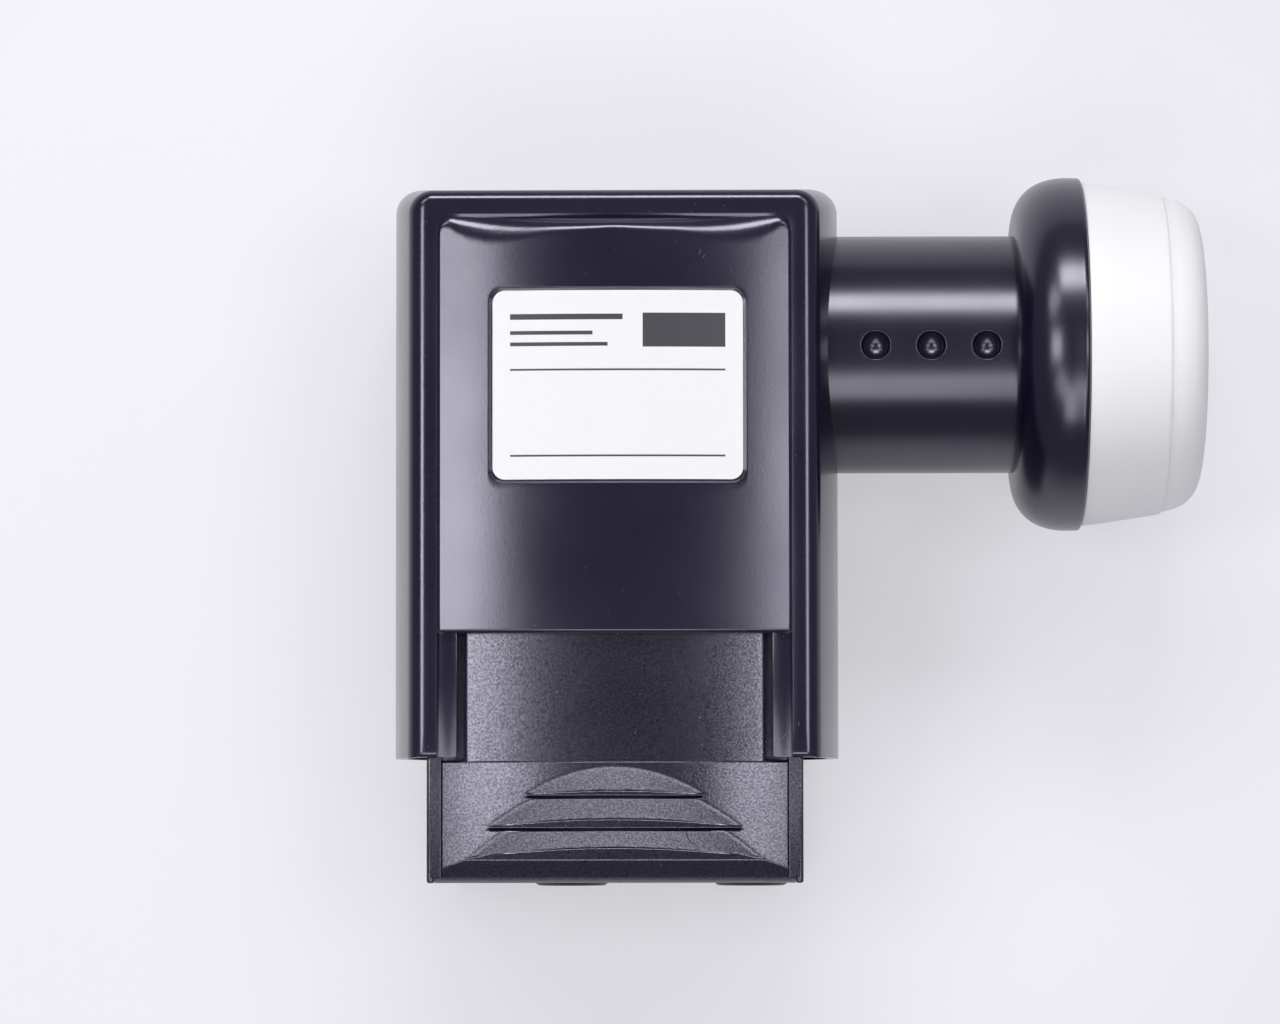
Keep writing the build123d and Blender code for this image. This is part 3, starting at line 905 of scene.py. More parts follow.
@dataclass
class RearCover:
    """Rear cover: bowed tray with a flat back, screw wells and posts inside."""

    housing: Housing
    back_z: float = 30.0
    edge_r: float = 2.5
    floor_z: float = 27.8
    post_r: float = 3.0
    post_top: float = -17.0
    boss_r: float = 2.8
    well_r: float = 2.5
    well_depth: float = 1.9
    posts: tuple[tuple[float, float], ...] = ((-20.0, 15.0), (20.0, 15.0), (-20.0, -24.0), (20.0, -24.0))
    screws: tuple[tuple[float, float], ...] = ((-27.8, 17.0), (27.8, 17.0), (-27.8, -27.0), (27.8, -27.0))

    def tray_draft(self) -> MeshDraft:
        """Tray as one closed shell, open towards the sockets.

        Returns:
            The draft of the tray.
        """
        form = self.housing
        outer = form.rounded_ends(form.outer_rows(-1, self.back_z, self.edge_r, self.edge_r), self.back_z)
        inner = []
        for z in (0.0, 6.0, 12.0, 18.0, 23.0, self.floor_z):
            half = form.side(z) - form.wall
            inner.append(form.path(half, form.top(z) - form.wall, form.corner - form.wall, -z, -z))
        draft = MeshDraft()
        numbers = draft.skin(inner[::-1] + outer)
        depth = len(inner)
        draft.cap(numbers[-1])
        draft.cap(numbers[0])
        left_out = [row[0] for row in numbers[depth:]]
        right_out = [row[-1] for row in numbers[depth:]]
        left_in = [row[0] for row in numbers[:depth]]
        right_in = [row[-1] for row in numbers[:depth]]
        draft.cap(left_out + right_out[::-1] + right_in[::-1] + left_in)
        return draft

    def build(self, finish: bpy.types.Material) -> bpy.types.Object:
        """Make the cover.

        Args:
            finish: Material of the cover.

        Returns:
            The finished piece.
        """
        tray = self.tray_draft().piece("rear_cover_tray", finish)
        holes = neck_hole()
        for spot in self.screws:
            add_upright(holes, spot, (-self.back_z - 1.0, -self.back_z + self.well_depth), self.well_r, 40)
        bored(tray, holes.piece("rear_holes", finish))
        inside = MeshDraft()
        for spot in self.posts:
            add_upright(inside, spot, (-self.floor_z - 0.6, self.post_top), self.post_r, 32)
        for spot in self.screws:
            add_upright(inside, spot, (-self.floor_z - 0.2, -0.1), self.boss_r, 32)
        return joined("rear_cover_skin", [tray, inside.piece("rear_posts", finish)])


def add_upright(draft: MeshDraft, spot: tuple[float, float], span: tuple[float, float], radius: float,
                segments: int) -> None:
    """Add an upright round bar with a small chamfer at its upper end.

    Args:
        draft: Draft that takes the bar.
        spot: Distance from the housing centre line and place along the housing.
        span: Heights of its lower and upper ends.
        radius: Bar radius.
        segments: Steps round the bar.
    """
    u, y = spot
    low, high = span
    chamfer = 0.2
    rows = []
    for z, r in ((low, radius), (high - chamfer, radius), (high, radius - chamfer)):
        rows.append([(CENTRE_X + u + r * math.cos(a), y + r * math.sin(a), z) for a in ring(segments)])
    draft.solid(rows)


@dataclass(frozen=True)
class Scoop:
    """One grip as places and heights along the shield: its start, its wall's foot and the land behind."""

    start: tuple[float, float]
    foot: tuple[float, float]
    land: tuple[float, float]
    crest_y: float
    stop_y: float
    cross_r: float


@dataclass
class WeatherShield:
    """Sliding shield: convex thumb section with scooped grips, side strips, tongue and hollow sleeve."""

    half: float = 30.9
    strip_in: float = 28.5
    strip_z: float = 25.2
    thumb_r: float = 115.0
    ease: float = 0.05
    crown_z: float = 28.1
    under_z: float = 22.6
    step_y: float = -68.7
    end_y: float = -88.7
    tongue_half: float = 24.65
    tongue_r: float = 150.0
    tongue_crown: float = 27.3
    tongue_top: float = -36.0
    tongue_thick: float = 1.8
    wall: float = 1.3
    back_z: float = -25.5
    sleeve_y: float = -58.0
    rail_y: float = -40.0
    lean: float = 0.38
    web_in: float = 22.9
    line_wide: float = 0.27
    edge_r: float = 0.3
    hair_r: float = 0.07
    columns: int = 331
    rows: int = 231

    SCOOPS = (
        Scoop((-68.7, 28.484), (-73.45, 26.66), (-73.57, 27.22), -74.15, -74.7, 136.0),
        Scoop((-74.75, 26.9), (-78.1, 25.6), (-78.22, 26.24), -79.45, -80.0, 187.0),
        Scoop((-80.05, 25.9), (-82.8, 24.85), (-82.92, 25.46), -84.6, -85.0, 200.0))
    LINES = ((-74.5, 26.5, 27.22), (-79.8, 25.5, 26.24))
    HAIR = ((11.7, -80.2), (11.85, -81.0), (12.3, -81.9), (13.5, -82.6))
    LIP = ((-88.7, 21.8), (-88.6, 22.15), (-88.42, 22.6), (-88.15, 23.05), (-87.75, 23.5), (-87.2, 23.95),
           (-86.5, 24.42), (-85.75, 24.95), (-84.9, 25.46), (-84.8, 40.0))

    def heights(self, u: np.ndarray, y: np.ndarray) -> np.ndarray:
        """Heights of the thumb section.

        Args:
            u: Distances from the centre line.
            y: Places along the shield.

        Returns:
            Height at each u and y.
        """
        z = self.crown_z - self.thumb_r + np.sqrt(self.thumb_r ** 2 - u * u)
        for scoop in self.SCOOPS:
            (start_y, start_z), (foot_y, foot_z), (land_y, land_z) = scoop.start, scoop.foot, scoop.land
            reach = u * u / (2 * self.thumb_r * (self.crown_z - land_z))
            run = y + np.clip(reach, 0.0, 1.0) * (land_y - scoop.crest_y)
            fall = (start_z - foot_z) / (start_y - foot_y)
            bowl = start_z + (y - start_y) * fall + u * u / (2 * scoop.cross_r)
            ramp = foot_z + (foot_y - run) / (foot_y - land_y) * (land_z - foot_z)
            bowl = np.where(run < foot_y, np.maximum(bowl, ramp), bowl)
            rounded = -self.ease * np.logaddexp(-z / self.ease, -bowl / self.ease)
            z = np.where((y <= start_y) & (run >= land_y), rounded, z)
            z = np.where((run <= land_y) & (y >= scoop.stop_y), np.minimum(z, land_z), z)
        crown = self.crown_z - u * u / (2 * self.thumb_r)
        for line_y, line_z, land_z in self.LINES:
            inside = (y <= line_y) & (y >= line_y - self.line_wide) & (crown > land_z)
            z = np.where(inside, np.minimum(z, line_z), z)
        lip_y, lip_z = zip(*self.LIP)
        z = np.minimum(z, np.interp(y, lip_y, lip_z))
        edge = self.edge_r - np.clip(self.step_y - y, 0.0, self.edge_r)
        return z - (self.edge_r - np.sqrt(np.maximum(self.edge_r ** 2 - edge ** 2, 0.0)))

    def thumb(self, draft: MeshDraft) -> None:
        """Add the thumb section as a closed slab.

        Args:
            draft: Draft that takes the section.
        """
        reach = self.half - self.wall + 0.1
        us = np.linspace(-reach, reach, self.columns)
        ys = np.linspace(self.end_y, self.step_y, self.rows)
        u, y = np.meshgrid(us, ys)
        z = self.heights(u, y)
        for _ in range(2):
            z[1:-1] = 0.25 * z[:-2] + 0.5 * z[1:-1] + 0.25 * z[2:]
            z[:, 1:-1] = 0.25 * z[:, :-2] + 0.5 * z[:, 1:-1] + 0.25 * z[:, 2:]
        z = np.where(np.abs(u) > self.strip_in + 0.15, np.minimum(z, self.strip_z - 0.9), z)
        upper = [[(CENTRE_X + a, b, c) for a, b, c in zip(*line)] for line in zip(u, y, z)]
        loops = []
        for line in upper:
            low = min(self.under_z, line[len(line) // 2][2] - 0.1)
            loops.append(line + [(line[-1][0], line[-1][1], low), (line[0][0], line[0][1], low)])
        draft.solid(loops)

    def tongue(self, draft: MeshDraft) -> None:
        """Add the tongue that runs under the front cover.

        Args:
            draft: Draft that takes the tongue.
        """
        us = [-self.tongue_half, -self.tongue_half + 0.15]
        us += spread(-self.tongue_half + 0.6, self.tongue_half - 0.6, 61)
        us += [self.tongue_half - 0.15, self.tongue_half]
        drops = [0.15, 0.03] + [0.0] * 61 + [0.03, 0.15]
        loops = []
        for y in spread(self.step_y - 0.4, self.tongue_top, 24):
            top = [(CENTRE_X + u, y, self.tongue_crown - u * u / (2 * self.tongue_r) - d)
                   for u, d in zip(us, drops)]
            under = [(x, y, z - self.tongue_thick) for x, y, z in top[::-1]]
            loops.append(top + under)
        draft.solid(loops)

    def strip(self, draft: MeshDraft, side: int) -> None:
        """Add a side strip, which leans outwards as the thumb section does.

        Args:
            draft: Draft that takes the strip.
            side: 1 for the horn side, -1 for the other.
        """
        low = self.strip_z - 1.8
        top = self.strip_z
        edge = top - self.lean
        inner, outer = self.strip_in, self.half
        outline = ((inner, low), (inner, top - 0.12), (inner + 0.05, top - 0.03), (inner + 0.14, top),
                   (inner + 0.17, top - 0.006), (outer - 0.5, edge + 0.01), (outer - 0.45, edge),
                   (outer - 0.18, edge - 0.08), (outer - 0.06, edge - 0.25), (outer - 0.03, edge - 0.5),
                   (outer - 0.03, low))
        start = self.end_y + 0.7
        loops = []
        for y, drop in ((start, 0.3), (start + 0.09, 0.12), (start + 0.3, 0.0), (self.rail_y, 0.0)):
            loops.append([(CENTRE_X + side * u, y, max(z - drop, low)) for u, z in outline])
        draft.solid(loops)

    def build(self, finish: bpy.types.Material) -> bpy.types.Object:
        """Make the shield.

        Args:
            finish: Material of the shield.

        Returns:
            The finished piece.
        """
        draft = MeshDraft()
        self.thumb(draft)
        self.tongue(draft)
        for side in (-1, 1):
            self.strip(draft, side)
            wall = sorted((side * (self.half - self.wall), side * self.half))
            draft.slab((*wall, self.end_y, self.sleeve_y, self.back_z, self.strip_z - 0.35), 0.45)
            web = sorted((side * self.web_in, side * (self.strip_in + 0.9)))
            draft.slab((*web, self.step_y - 0.5, self.rail_y, self.under_z, self.under_z + 1.2), 0.15)
            cheek = sorted((side * self.web_in, side * self.tongue_half))
            draft.slab((*cheek, self.step_y - 0.5, self.rail_y, self.under_z, self.under_z + 2.0), 0.15)
        tray = (-self.half, self.half, self.end_y, self.sleeve_y, self.back_z, self.back_z + self.wall)
        draft.slab(tray, 0.45)
        return draft.piece("weather_shield_skin", finish, 40.0)

    def hair(self, finish: bpy.types.Material) -> bpy.types.Object:
        """Make the short hair that clings to the grip.

        Args:
            finish: Material of the hair.

        Returns:
            The finished piece.
        """
        r = self.hair_r
        loops = []
        for u, y in smooth_profile(self.HAIR, 6):
            z = float(self.heights(np.array([u]), np.array([y]))[0]) + 0.05
            loops.append([(CENTRE_X + u + r * math.cos(a), y, z + r * math.sin(a)) for a in ring(6)])
        draft = MeshDraft()
        draft.solid(loops)
        return draft.piece("lint_hair", finish)


@dataclass
class NeckSleeve:
    """Clamp neck with three round dimples on its label side."""

    radius: float = 20.0
    bore: float = 16.7
    start_x: float = -21.0
    stop_x: float = 14.0
    dimple_r: float = 2.33
    dimple_depth: float = 1.9
    dimple_x: float = -0.25
    pitch: float = 9.2
    patch: float = 4.0
    cells: int = 8
    rim: float = 0.22

    def on_skin(self, x: float, arc: float, depth: float) -> Point:
        """Find a point on the neck.

        Args:
            x: Place along the neck.
            arc: Arc length from the label side.
            depth: Depth under the skin.

        Returns:
            The point.
        """
        turn = arc / self.radius
        r = self.radius - depth
        return (x, r * math.sin(turn), r * math.cos(turn))

    def dimple(self, draft: MeshDraft, x: float) -> None:
        """Add a dimple and the square of skin around it.

        Args:
            draft: Draft that takes the dimple.
            x: Place of the dimple along the neck.
        """
        edge = spread(-self.patch, self.patch, self.cells + 1)
        square = [(a, -self.patch) for a in edge[:-1]] + [(self.patch, b) for b in edge[:-1]]
        square += [(a, self.patch) for a in edge[:0:-1]] + [(-self.patch, b) for b in edge[:0:-1]]
        mouth = self.dimple_r + self.rim
        loops = []
        for share in (0.0, 0.35, 0.7, 0.9):
            loop = []
            for a, b in square:
                turn = math.atan2(b, a)
                p = a + (mouth * 1.06 * math.cos(turn) - a) * share
                q = b + (mouth * 1.06 * math.sin(turn) - b) * share
                loop.append(self.on_skin(x + p, q, 0.0))
            loops.append(loop)
        turns = [math.atan2(b, a) for a, b in square]
        section = [(mouth - self.rim * math.sin(math.radians(t)), self.rim * (1 - math.cos(math.radians(t))))
                   for t in (0, 22, 45, 67, 90)]
        section += [(self.dimple_r * math.cos(math.radians(t)),
                     self.rim + self.dimple_depth * math.sin(math.radians(t)))
                    for t in (10, 20, 30, 40, 50, 60, 70, 80, 86)]
        for r, depth in section:
            loops.append([self.on_skin(x + r * math.cos(t), r * math.sin(t), depth) for t in turns])
        numbers = draft.skin(loops, around=True)
        draft.cap(numbers[-1])

    def build(self, finish: bpy.types.Material) -> bpy.types.Object:
        """Make the sleeve.

        Args:
            finish: Material of the neck.

        Returns:
            The finished piece.
        """
        centres = [self.dimple_x + i * self.pitch for i in (-1, 0, 1)]
        xs = [self.start_x, -17.0]
        for c in centres:
            xs += [c + a for a in spread(-self.patch, self.patch, self.cells + 1)]
        xs.append(self.stop_x)
        arcs = spread(-self.patch, self.patch, self.cells + 1)
        full = 2 * math.pi * self.radius
        arcs += spread(self.patch, full - self.patch, 151)[1:-1]
        draft = MeshDraft()
        grid = [draft.row([self.on_skin(x, a, 0.0) for a in arcs]) for x in xs]
        for i in range(len(xs) - 1):
            in_patch = any(abs((xs[i] + xs[i + 1]) / 2 - c) < self.patch for c in centres)
            for j in range(len(arcs)):
                if in_patch and j < self.cells:
                    continue
                k = (j + 1) % len(arcs)
                draft.faces.append((grid[i][j], grid[i][k], grid[i + 1][k], grid[i + 1][j]))
        for c in centres:
            self.dimple(draft, c)
        inner = [draft.row([self.on_skin(x, a, self.radius - self.bore) for a in arcs])
                 for x in (self.start_x, self.stop_x)]
        for near, far in ((grid[0], inner[0]), (inner[0], inner[1]), (inner[1], grid[-1])):
            for j in range(len(arcs)):
                k = (j + 1) % len(arcs)
                draft.faces.append((near[j], near[k], far[k], far[j]))
        return draft.piece("neck_sleeve_skin", finish)


@dataclass
class HornEnd:
    """Collar and white cap on the horn."""

    segments: int = 192

    COLLAR_OUT = ((14.0, 20.0), (14.0, 22.0), (14.35, 24.1), (15.15, 25.95), (16.4, 27.5), (18.1, 28.7),
                  (20.1, 29.42), (22.2, 29.75), (24.6, 29.75))
    COLLAR_LIP = ((24.95, 29.76), (25.3, 29.6), (25.48, 29.3), (25.5, 28.7))
    COLLAR_IN = ((25.5, 27.1), (17.3, 27.1), (17.3, 16.4), (14.0, 16.4))
    CAP_OUT = ((25.52, 28.6), (25.62, 28.9), (25.9, 28.97))
    CAP_SIDE = ((30.0, 28.4), (34.5, 27.72), (38.4, 27.12), (38.75, 27.04), (39.0, 26.92), (39.12, 26.72),
                (39.35, 26.58))
    CAP_FRONT = ((40.4, 26.38), (41.7, 25.98), (43.3, 25.1), (44.5, 23.8), (45.2, 22.2), (45.55, 20.0),
                 (45.8, 15.0), (46.03, 7.0), (46.1, 0.02))
    CAP_IN = ((43.9, 0.02), (43.3, 21.0), (40.8, 24.6), (27.0, 27.3), (25.52, 27.3))

    def collar(self, finish: bpy.types.Material) -> bpy.types.Object:
        """Make the collar behind the cap.

        Args:
            finish: Material of the collar.

        Returns:
            The finished piece.
        """
        draft = MeshDraft()
        profile = smooth_profile(self.COLLAR_OUT[1:], 5)
        profile = [self.COLLAR_OUT[0], *profile, *self.COLLAR_LIP, *self.COLLAR_IN]
        draft.skin(turned_rows(profile, self.segments), around=True, along=True)
        return draft.piece("horn_collar_skin", finish)

    def cap(self, finish: bpy.types.Material) -> bpy.types.Object:
        """Make the white cap.

        Args:
            finish: Material of the cap.

        Returns:
            The finished piece.
        """
        draft = MeshDraft()
        profile = [*self.CAP_OUT, *self.CAP_SIDE, *smooth_profile(self.CAP_FRONT, 4), *self.CAP_IN]
        draft.skin(turned_rows(profile, self.segments), around=True, along=True)
        return draft.piece("feed_cap_skin", finish)


@dataclass
class LabelFilm:
    """Thin film in the panel's recess."""

    cover: FrontCover
    width: float = 41.0
    height: float = 31.0
    corner: float = 2.0
    lift: float = 0.06
    thick: float = 0.13

    def build(self, finish: bpy.types.Material) -> bpy.types.Object:
        """Make the film with its UV map.

        Args:
            finish: Material of the film.

        Returns:
            The finished piece.
        """
        half = self.width / 2
        straight = half - self.corner
        us = [-straight - self.corner * math.sin(math.radians(a)) for a in (90, 78, 66, 54, 42, 30, 18, 6)]
        us += spread(-straight, straight, 40)
        us += [-u for u in us[7::-1]]
        draft = MeshDraft()
        loops = []
        for u in us:
            over = max(abs(u) - straight, 0.0)
            reach = self.height / 2 - self.corner + math.sqrt(max(self.corner ** 2 - over ** 2, 0.0))
            z = self.cover.crown(u + self.cover.label_u) - self.lift
            x = CENTRE_X + self.cover.label_u + u
            low = self.cover.label_y - reach
            high = self.cover.label_y + reach
            loops.append([(x, low, z), (x, high, z), (x, high, z - self.thick), (x, low, z - self.thick)])
        draft.solid(loops)
        made = draft.piece("label_film", finish)
        layer = made.data.uv_layers.new(name="film")
        for loop in made.data.loops:
            co = made.data.vertices[loop.vertex_index].co / MM
            across = (co.x - CENTRE_X - self.cover.label_u) / self.width + 0.5
            layer.data[loop.index].uv = (across, (co.y - self.cover.label_y) / self.height + 0.5)
        return made


@dataclass
class Scuffs:
    """Short pale scuffs that handling has left on the front cover."""

    cover: FrontCover
    width: float = 0.11
    rise: float = 0.015

    MARKS = ((14.1, 14.5, 75.0, 0.9), (14.7, 13.8, 55.0, 0.7), (27.8, -64.6, 50.0, 1.3),
             (30.1, -62.7, 80.0, 0.8))
    SECTION = ((-0.5, 0.15), (-0.25, 0.8), (0.0, 1.0), (0.25, 0.8), (0.5, 0.15))

    def ground(self, u: float, y: float) -> float:
        """Height of the cover under a scuff.

        Args:
            u: Distance from the centre line.
            y: Place along the housing.

        Returns:
            Height in millimetres.
        """
        cover = self.cover
        if u > cover.ledge_out:
            return cover.face_z
        if y > cover.panel_low:
            return cover.panel_height(u, y)
        share = (u - cover.ledge_in - 0.2) / (cover.ledge_out + 0.2 - cover.ledge_in)
        return cover.ledge_z - cover.ledge_lean * share

    def build(self, finish: bpy.types.Material) -> bpy.types.Object:
        """Make the scuffs.

        Args:
            finish: Material of the scuffs.

        Returns:
            The finished piece.
        """
        draft = MeshDraft()
        for u, y, heading, length in self.MARKS:
            along = Vector((math.cos(math.radians(heading)), math.sin(math.radians(heading))))
            across = Vector((-along.y, along.x)) * self.width / 2
            loops = []
            for run, swell in self.SECTION:
                mid = Vector((u, y)) + along * length * run
                z = self.ground(mid.x, mid.y)
                left, right = mid + across * swell, mid - across * swell
                loops.append([(CENTRE_X + left.x, left.y, z), (CENTRE_X + mid.x, mid.y, z + self.rise),
                              (CENTRE_X + right.x, right.y, z), (CENTRE_X + mid.x, mid.y, z - self.rise)])
            draft.solid(loops)
        return draft.piece("cover_scuffs", finish)


@dataclass
class ScrewSockets:
    """Four threaded sockets on the chassis plate and two push-on dust caps."""

    places: tuple[tuple[float, float], ...] = ((-22.4, -8.0), (-7.5, 8.0), (7.5, -8.0), (22.4, 8.0))
    root_r: float = 4.36
    crest_r: float = 4.76
    pitch: float = 0.794
    spigot_y: float = -66.0
    spigot_r: float = 4.75
    plate_y: float = -69.5
    nut_y: float = -74.0
    tip_y: float = -86.2
    nut_flat: float = 11.0
    bore_r: float = 3.0
    dust_y: float = -89.3
    dust_r: float = 6.2

    def turned_y(self, draft: MeshDraft, place: tuple[float, float],
                 profile: Sequence[tuple[float, float]]) -> None:
        """Add a closed body turned about a socket's axis.

        Args:
            draft: Draft that takes the body.
            place: Socket place as u and z.
            profile: Closed line of (y, radius) points.
        """
        u, z = place
        turns = ring(64)
        rows = [[(CENTRE_X + u + r * math.cos(a), y, z + r * math.sin(a)) for a in turns] for y, r in profile]
        draft.skin(rows, around=True, along=True)

    def nut(self, draft: MeshDraft, place: tuple[float, float]) -> None:
        """Add the hexagon behind a thread.

        Args:
            draft: Draft that takes the hexagon.
            place: Socket place as u and z.
        """
        u, z = place
        reach = self.nut_flat / 2 / math.cos(math.radians(30))
        rows = []
        for y, grow in ((self.plate_y, 0.0), (self.nut_y + 0.4, 0.0), (self.nut_y, -0.45)):
            corners = [math.radians(30 + 60 * i) for i in range(6)]
            rows.append([(CENTRE_X + u + (reach + grow) * math.cos(a), y, z + (reach + grow) * math.sin(a))
                         for a in corners])
        draft.solid(rows)

    def bodies(self, finish: bpy.types.Material) -> bpy.types.Object:
        """Make the four sockets without their threads.

        Args:
            finish: Material of the sockets.

        Returns:
            The finished piece.
        """
        draft = MeshDraft()
        for place in self.places:
            self.nut(draft, place)
            profile = ((self.spigot_y, self.bore_r), (self.spigot_y, self.spigot_r),
                       (self.plate_y, self.spigot_r), (self.nut_y - 0.3, self.root_r),
                       (self.tip_y + 0.45, self.root_r), (self.tip_y, self.root_r - 0.45),
                       (self.tip_y, self.bore_r + 0.25), (self.tip_y + 0.25, self.bore_r))
            self.turned_y(draft, place, profile)
        return draft.piece("socket_bodies", finish)

    def threads(self, finish: bpy.types.Material) -> bpy.types.Object:
        """Wind the threads with a Geometry Nodes tree.

        Args:
            finish: Material of the threads.

        Returns:
            The baked piece.
        """
        mesh = bpy.data.meshes.new("socket_places")
        spots = [((CENTRE_X + u) * MM, (self.nut_y - 0.5) * MM, z * MM) for u, z in self.places]
        mesh.from_pydata(spots, [], [])
        made = bpy.data.objects.new("socket_threads", mesh)
        bpy.context.scene.collection.objects.link(made)
        run = self.nut_y - self.tip_y - 1.1
        tree = ThreadTree(finish)
        values = {"Turns": run / self.pitch, "Length": run * MM, "Radius": (self.root_r + 0.06) * MM,
                  "Ridge": (self.crest_r - self.root_r - 0.06) * MM}
        return baked(made, tree.build(), values)

    def dust_cap(self, index: int, finish: bpy.types.Material) -> bpy.types.Object:
        """Make the dust cap of one socket.

        Args:
            index: Socket number from 1.
            finish: Material of the cap.

        Returns:
            The finished piece.
        """
        round_r = 1.0
        far = [(self.dust_y + round_r * (1 - math.sin(math.radians(a))),
                self.dust_r - round_r * (1 - math.cos(math.radians(a)))) for a in (0, 18, 36, 54, 72, 90)]
        groove_r = self.dust_r - 0.2
        skirt = ((self.nut_y - 0.3, 5.0), (self.nut_y - 0.3, self.dust_r), (self.nut_y - 1.4, self.dust_r),
                 (self.nut_y - 1.6, groove_r), (self.nut_y - 2.2, groove_r), (self.nut_y - 2.4, self.dust_r))
        profile = [*skirt, *far, (self.dust_y, 3.2), (self.dust_y + 0.25, 2.9), (self.dust_y + 0.25, 0.02),
                   (self.tip_y - 0.5, 0.02), (self.tip_y - 0.5, 5.0)]
        draft = MeshDraft()
        self.turned_y(draft, self.places[index - 1], profile)
        return draft.piece("dust_cap_%d_skin" % index, finish)


class ThreadTree:
    """Geometry Nodes tree that winds a thread at every point of a mesh."""

    def __init__(self, finish: bpy.types.Material) -> None:
        """Keep the finish of the thread."""
        self.finish = finish

    def build(self) -> bpy.types.NodeTree:
        """Make the tree.

        Returns:
            Tree with the inputs Turns, Length, Radius and Ridge.
        """
        tree = bpy.data.node_groups.new("wind_thread", "GeometryNodeTree")
        face = tree.interface
        face.new_socket("Geometry", in_out="INPUT", socket_type="NodeSocketGeometry")
        for name in ("Turns", "Length", "Radius", "Ridge"):
            face.new_socket(name, in_out="INPUT", socket_type="NodeSocketFloat")
        face.new_socket("Geometry", in_out="OUTPUT", socket_type="NodeSocketGeometry")
        enter = tree.nodes.new("NodeGroupInput")
        leave = tree.nodes.new("NodeGroupOutput")
        spiral = tree.nodes.new("GeometryNodeCurveSpiral")
        spiral.inputs["Resolution"].default_value = 40
        section = tree.nodes.new("GeometryNodeCurvePrimitiveCircle")
        section.inputs["Resolution"].default_value = 4
        lay = tree.nodes.new("GeometryNodeTransform")
        lay.inputs["Rotation"].default_value = (math.radians(90), 0.0, 0.0)
        sweep = tree.nodes.new("GeometryNodeCurveToMesh")
        sweep.inputs["Fill Caps"].default_value = True
        spots = tree.nodes.new("GeometryNodeInstanceOnPoints")
        real = tree.nodes.new("GeometryNodeRealizeInstances")
        dress = tree.nodes.new("GeometryNodeSetMaterial")
        dress.inputs["Material"].default_value = self.finish
        wires = (
            (enter, "Turns", spiral, "Rotations"), (enter, "Radius", spiral, "Start Radius"),
            (enter, "Radius", spiral, "End Radius"), (enter, "Length", spiral, "Height"),
            (enter, "Ridge", section, "Radius"), (spiral, "Curve", lay, "Geometry"),
            (lay, "Geometry", sweep, "Curve"), (section, "Curve", sweep, "Profile Curve"),
            (enter, "Geometry", spots, "Points"), (sweep, "Mesh", spots, "Instance"),
            (spots, "Instances", real, "Geometry"), (real, "Geometry", dress, "Geometry"),
            (dress, "Geometry", leave, "Geometry"))
        for source, out, target, into in wires:
            tree.links.new(source.outputs[out], target.inputs[into])
        return tree


def baked(made: bpy.types.Object, tree: bpy.types.NodeTree, values: dict[str, float]) -> bpy.types.Object:
    """Run a Geometry Nodes tree on an object and keep the plain mesh.

    Args:
        made: Object that holds the tree's input mesh.
        tree: The tree to run.
        values: Tree inputs by name.

    Returns:
        The object with the result as its mesh.
    """
    modifier = made.modifiers.new("tree", "NODES")
    modifier.node_group = tree
    for item in tree.interface.items_tree:
        if item.item_type == "SOCKET" and item.in_out == "INPUT" and item.name in values:
            modifier[item.identifier] = values[item.name]
    bpy.context.view_layer.update()
    seen = made.evaluated_get(bpy.context.evaluated_depsgraph_get())
    mesh = bpy.data.meshes.new_from_object(seen)
    made.modifiers.remove(modifier)
    made.data = mesh
    return made


@dataclass(frozen=True)
class SoftBox:
    """Square lamp aimed at the object."""

    name: str
    tilt: float
    heading: float
    width: float
    length: float
    level: float
    aim_y: float
    distance: float = 1.3

    def build(self) -> None:
        """Hang the lamp."""
        target = Vector((-0.045, self.aim_y, 0.0))
        lamp = bpy.data.lights.new(self.name, "AREA")
        lamp.shape = "RECTANGLE"
        lamp.size = self.length
        lamp.size_y = self.width
        lamp.energy = self.level * math.pi * self.width * self.length
        made = bpy.data.objects.new(self.name, lamp)
        tilt, heading = math.radians(self.tilt), math.radians(self.heading)
        way = Vector((math.sin(tilt) * math.cos(heading), math.sin(tilt) * math.sin(heading), math.cos(tilt)))
        side = Vector((-math.sin(heading), math.cos(heading), 0.0))
        turn = Matrix((side, way.cross(side), way)).transposed()
        made.matrix_world = Matrix.Translation(target + way * self.distance) @ turn.to_4x4()
        bpy.context.scene.collection.objects.link(made)


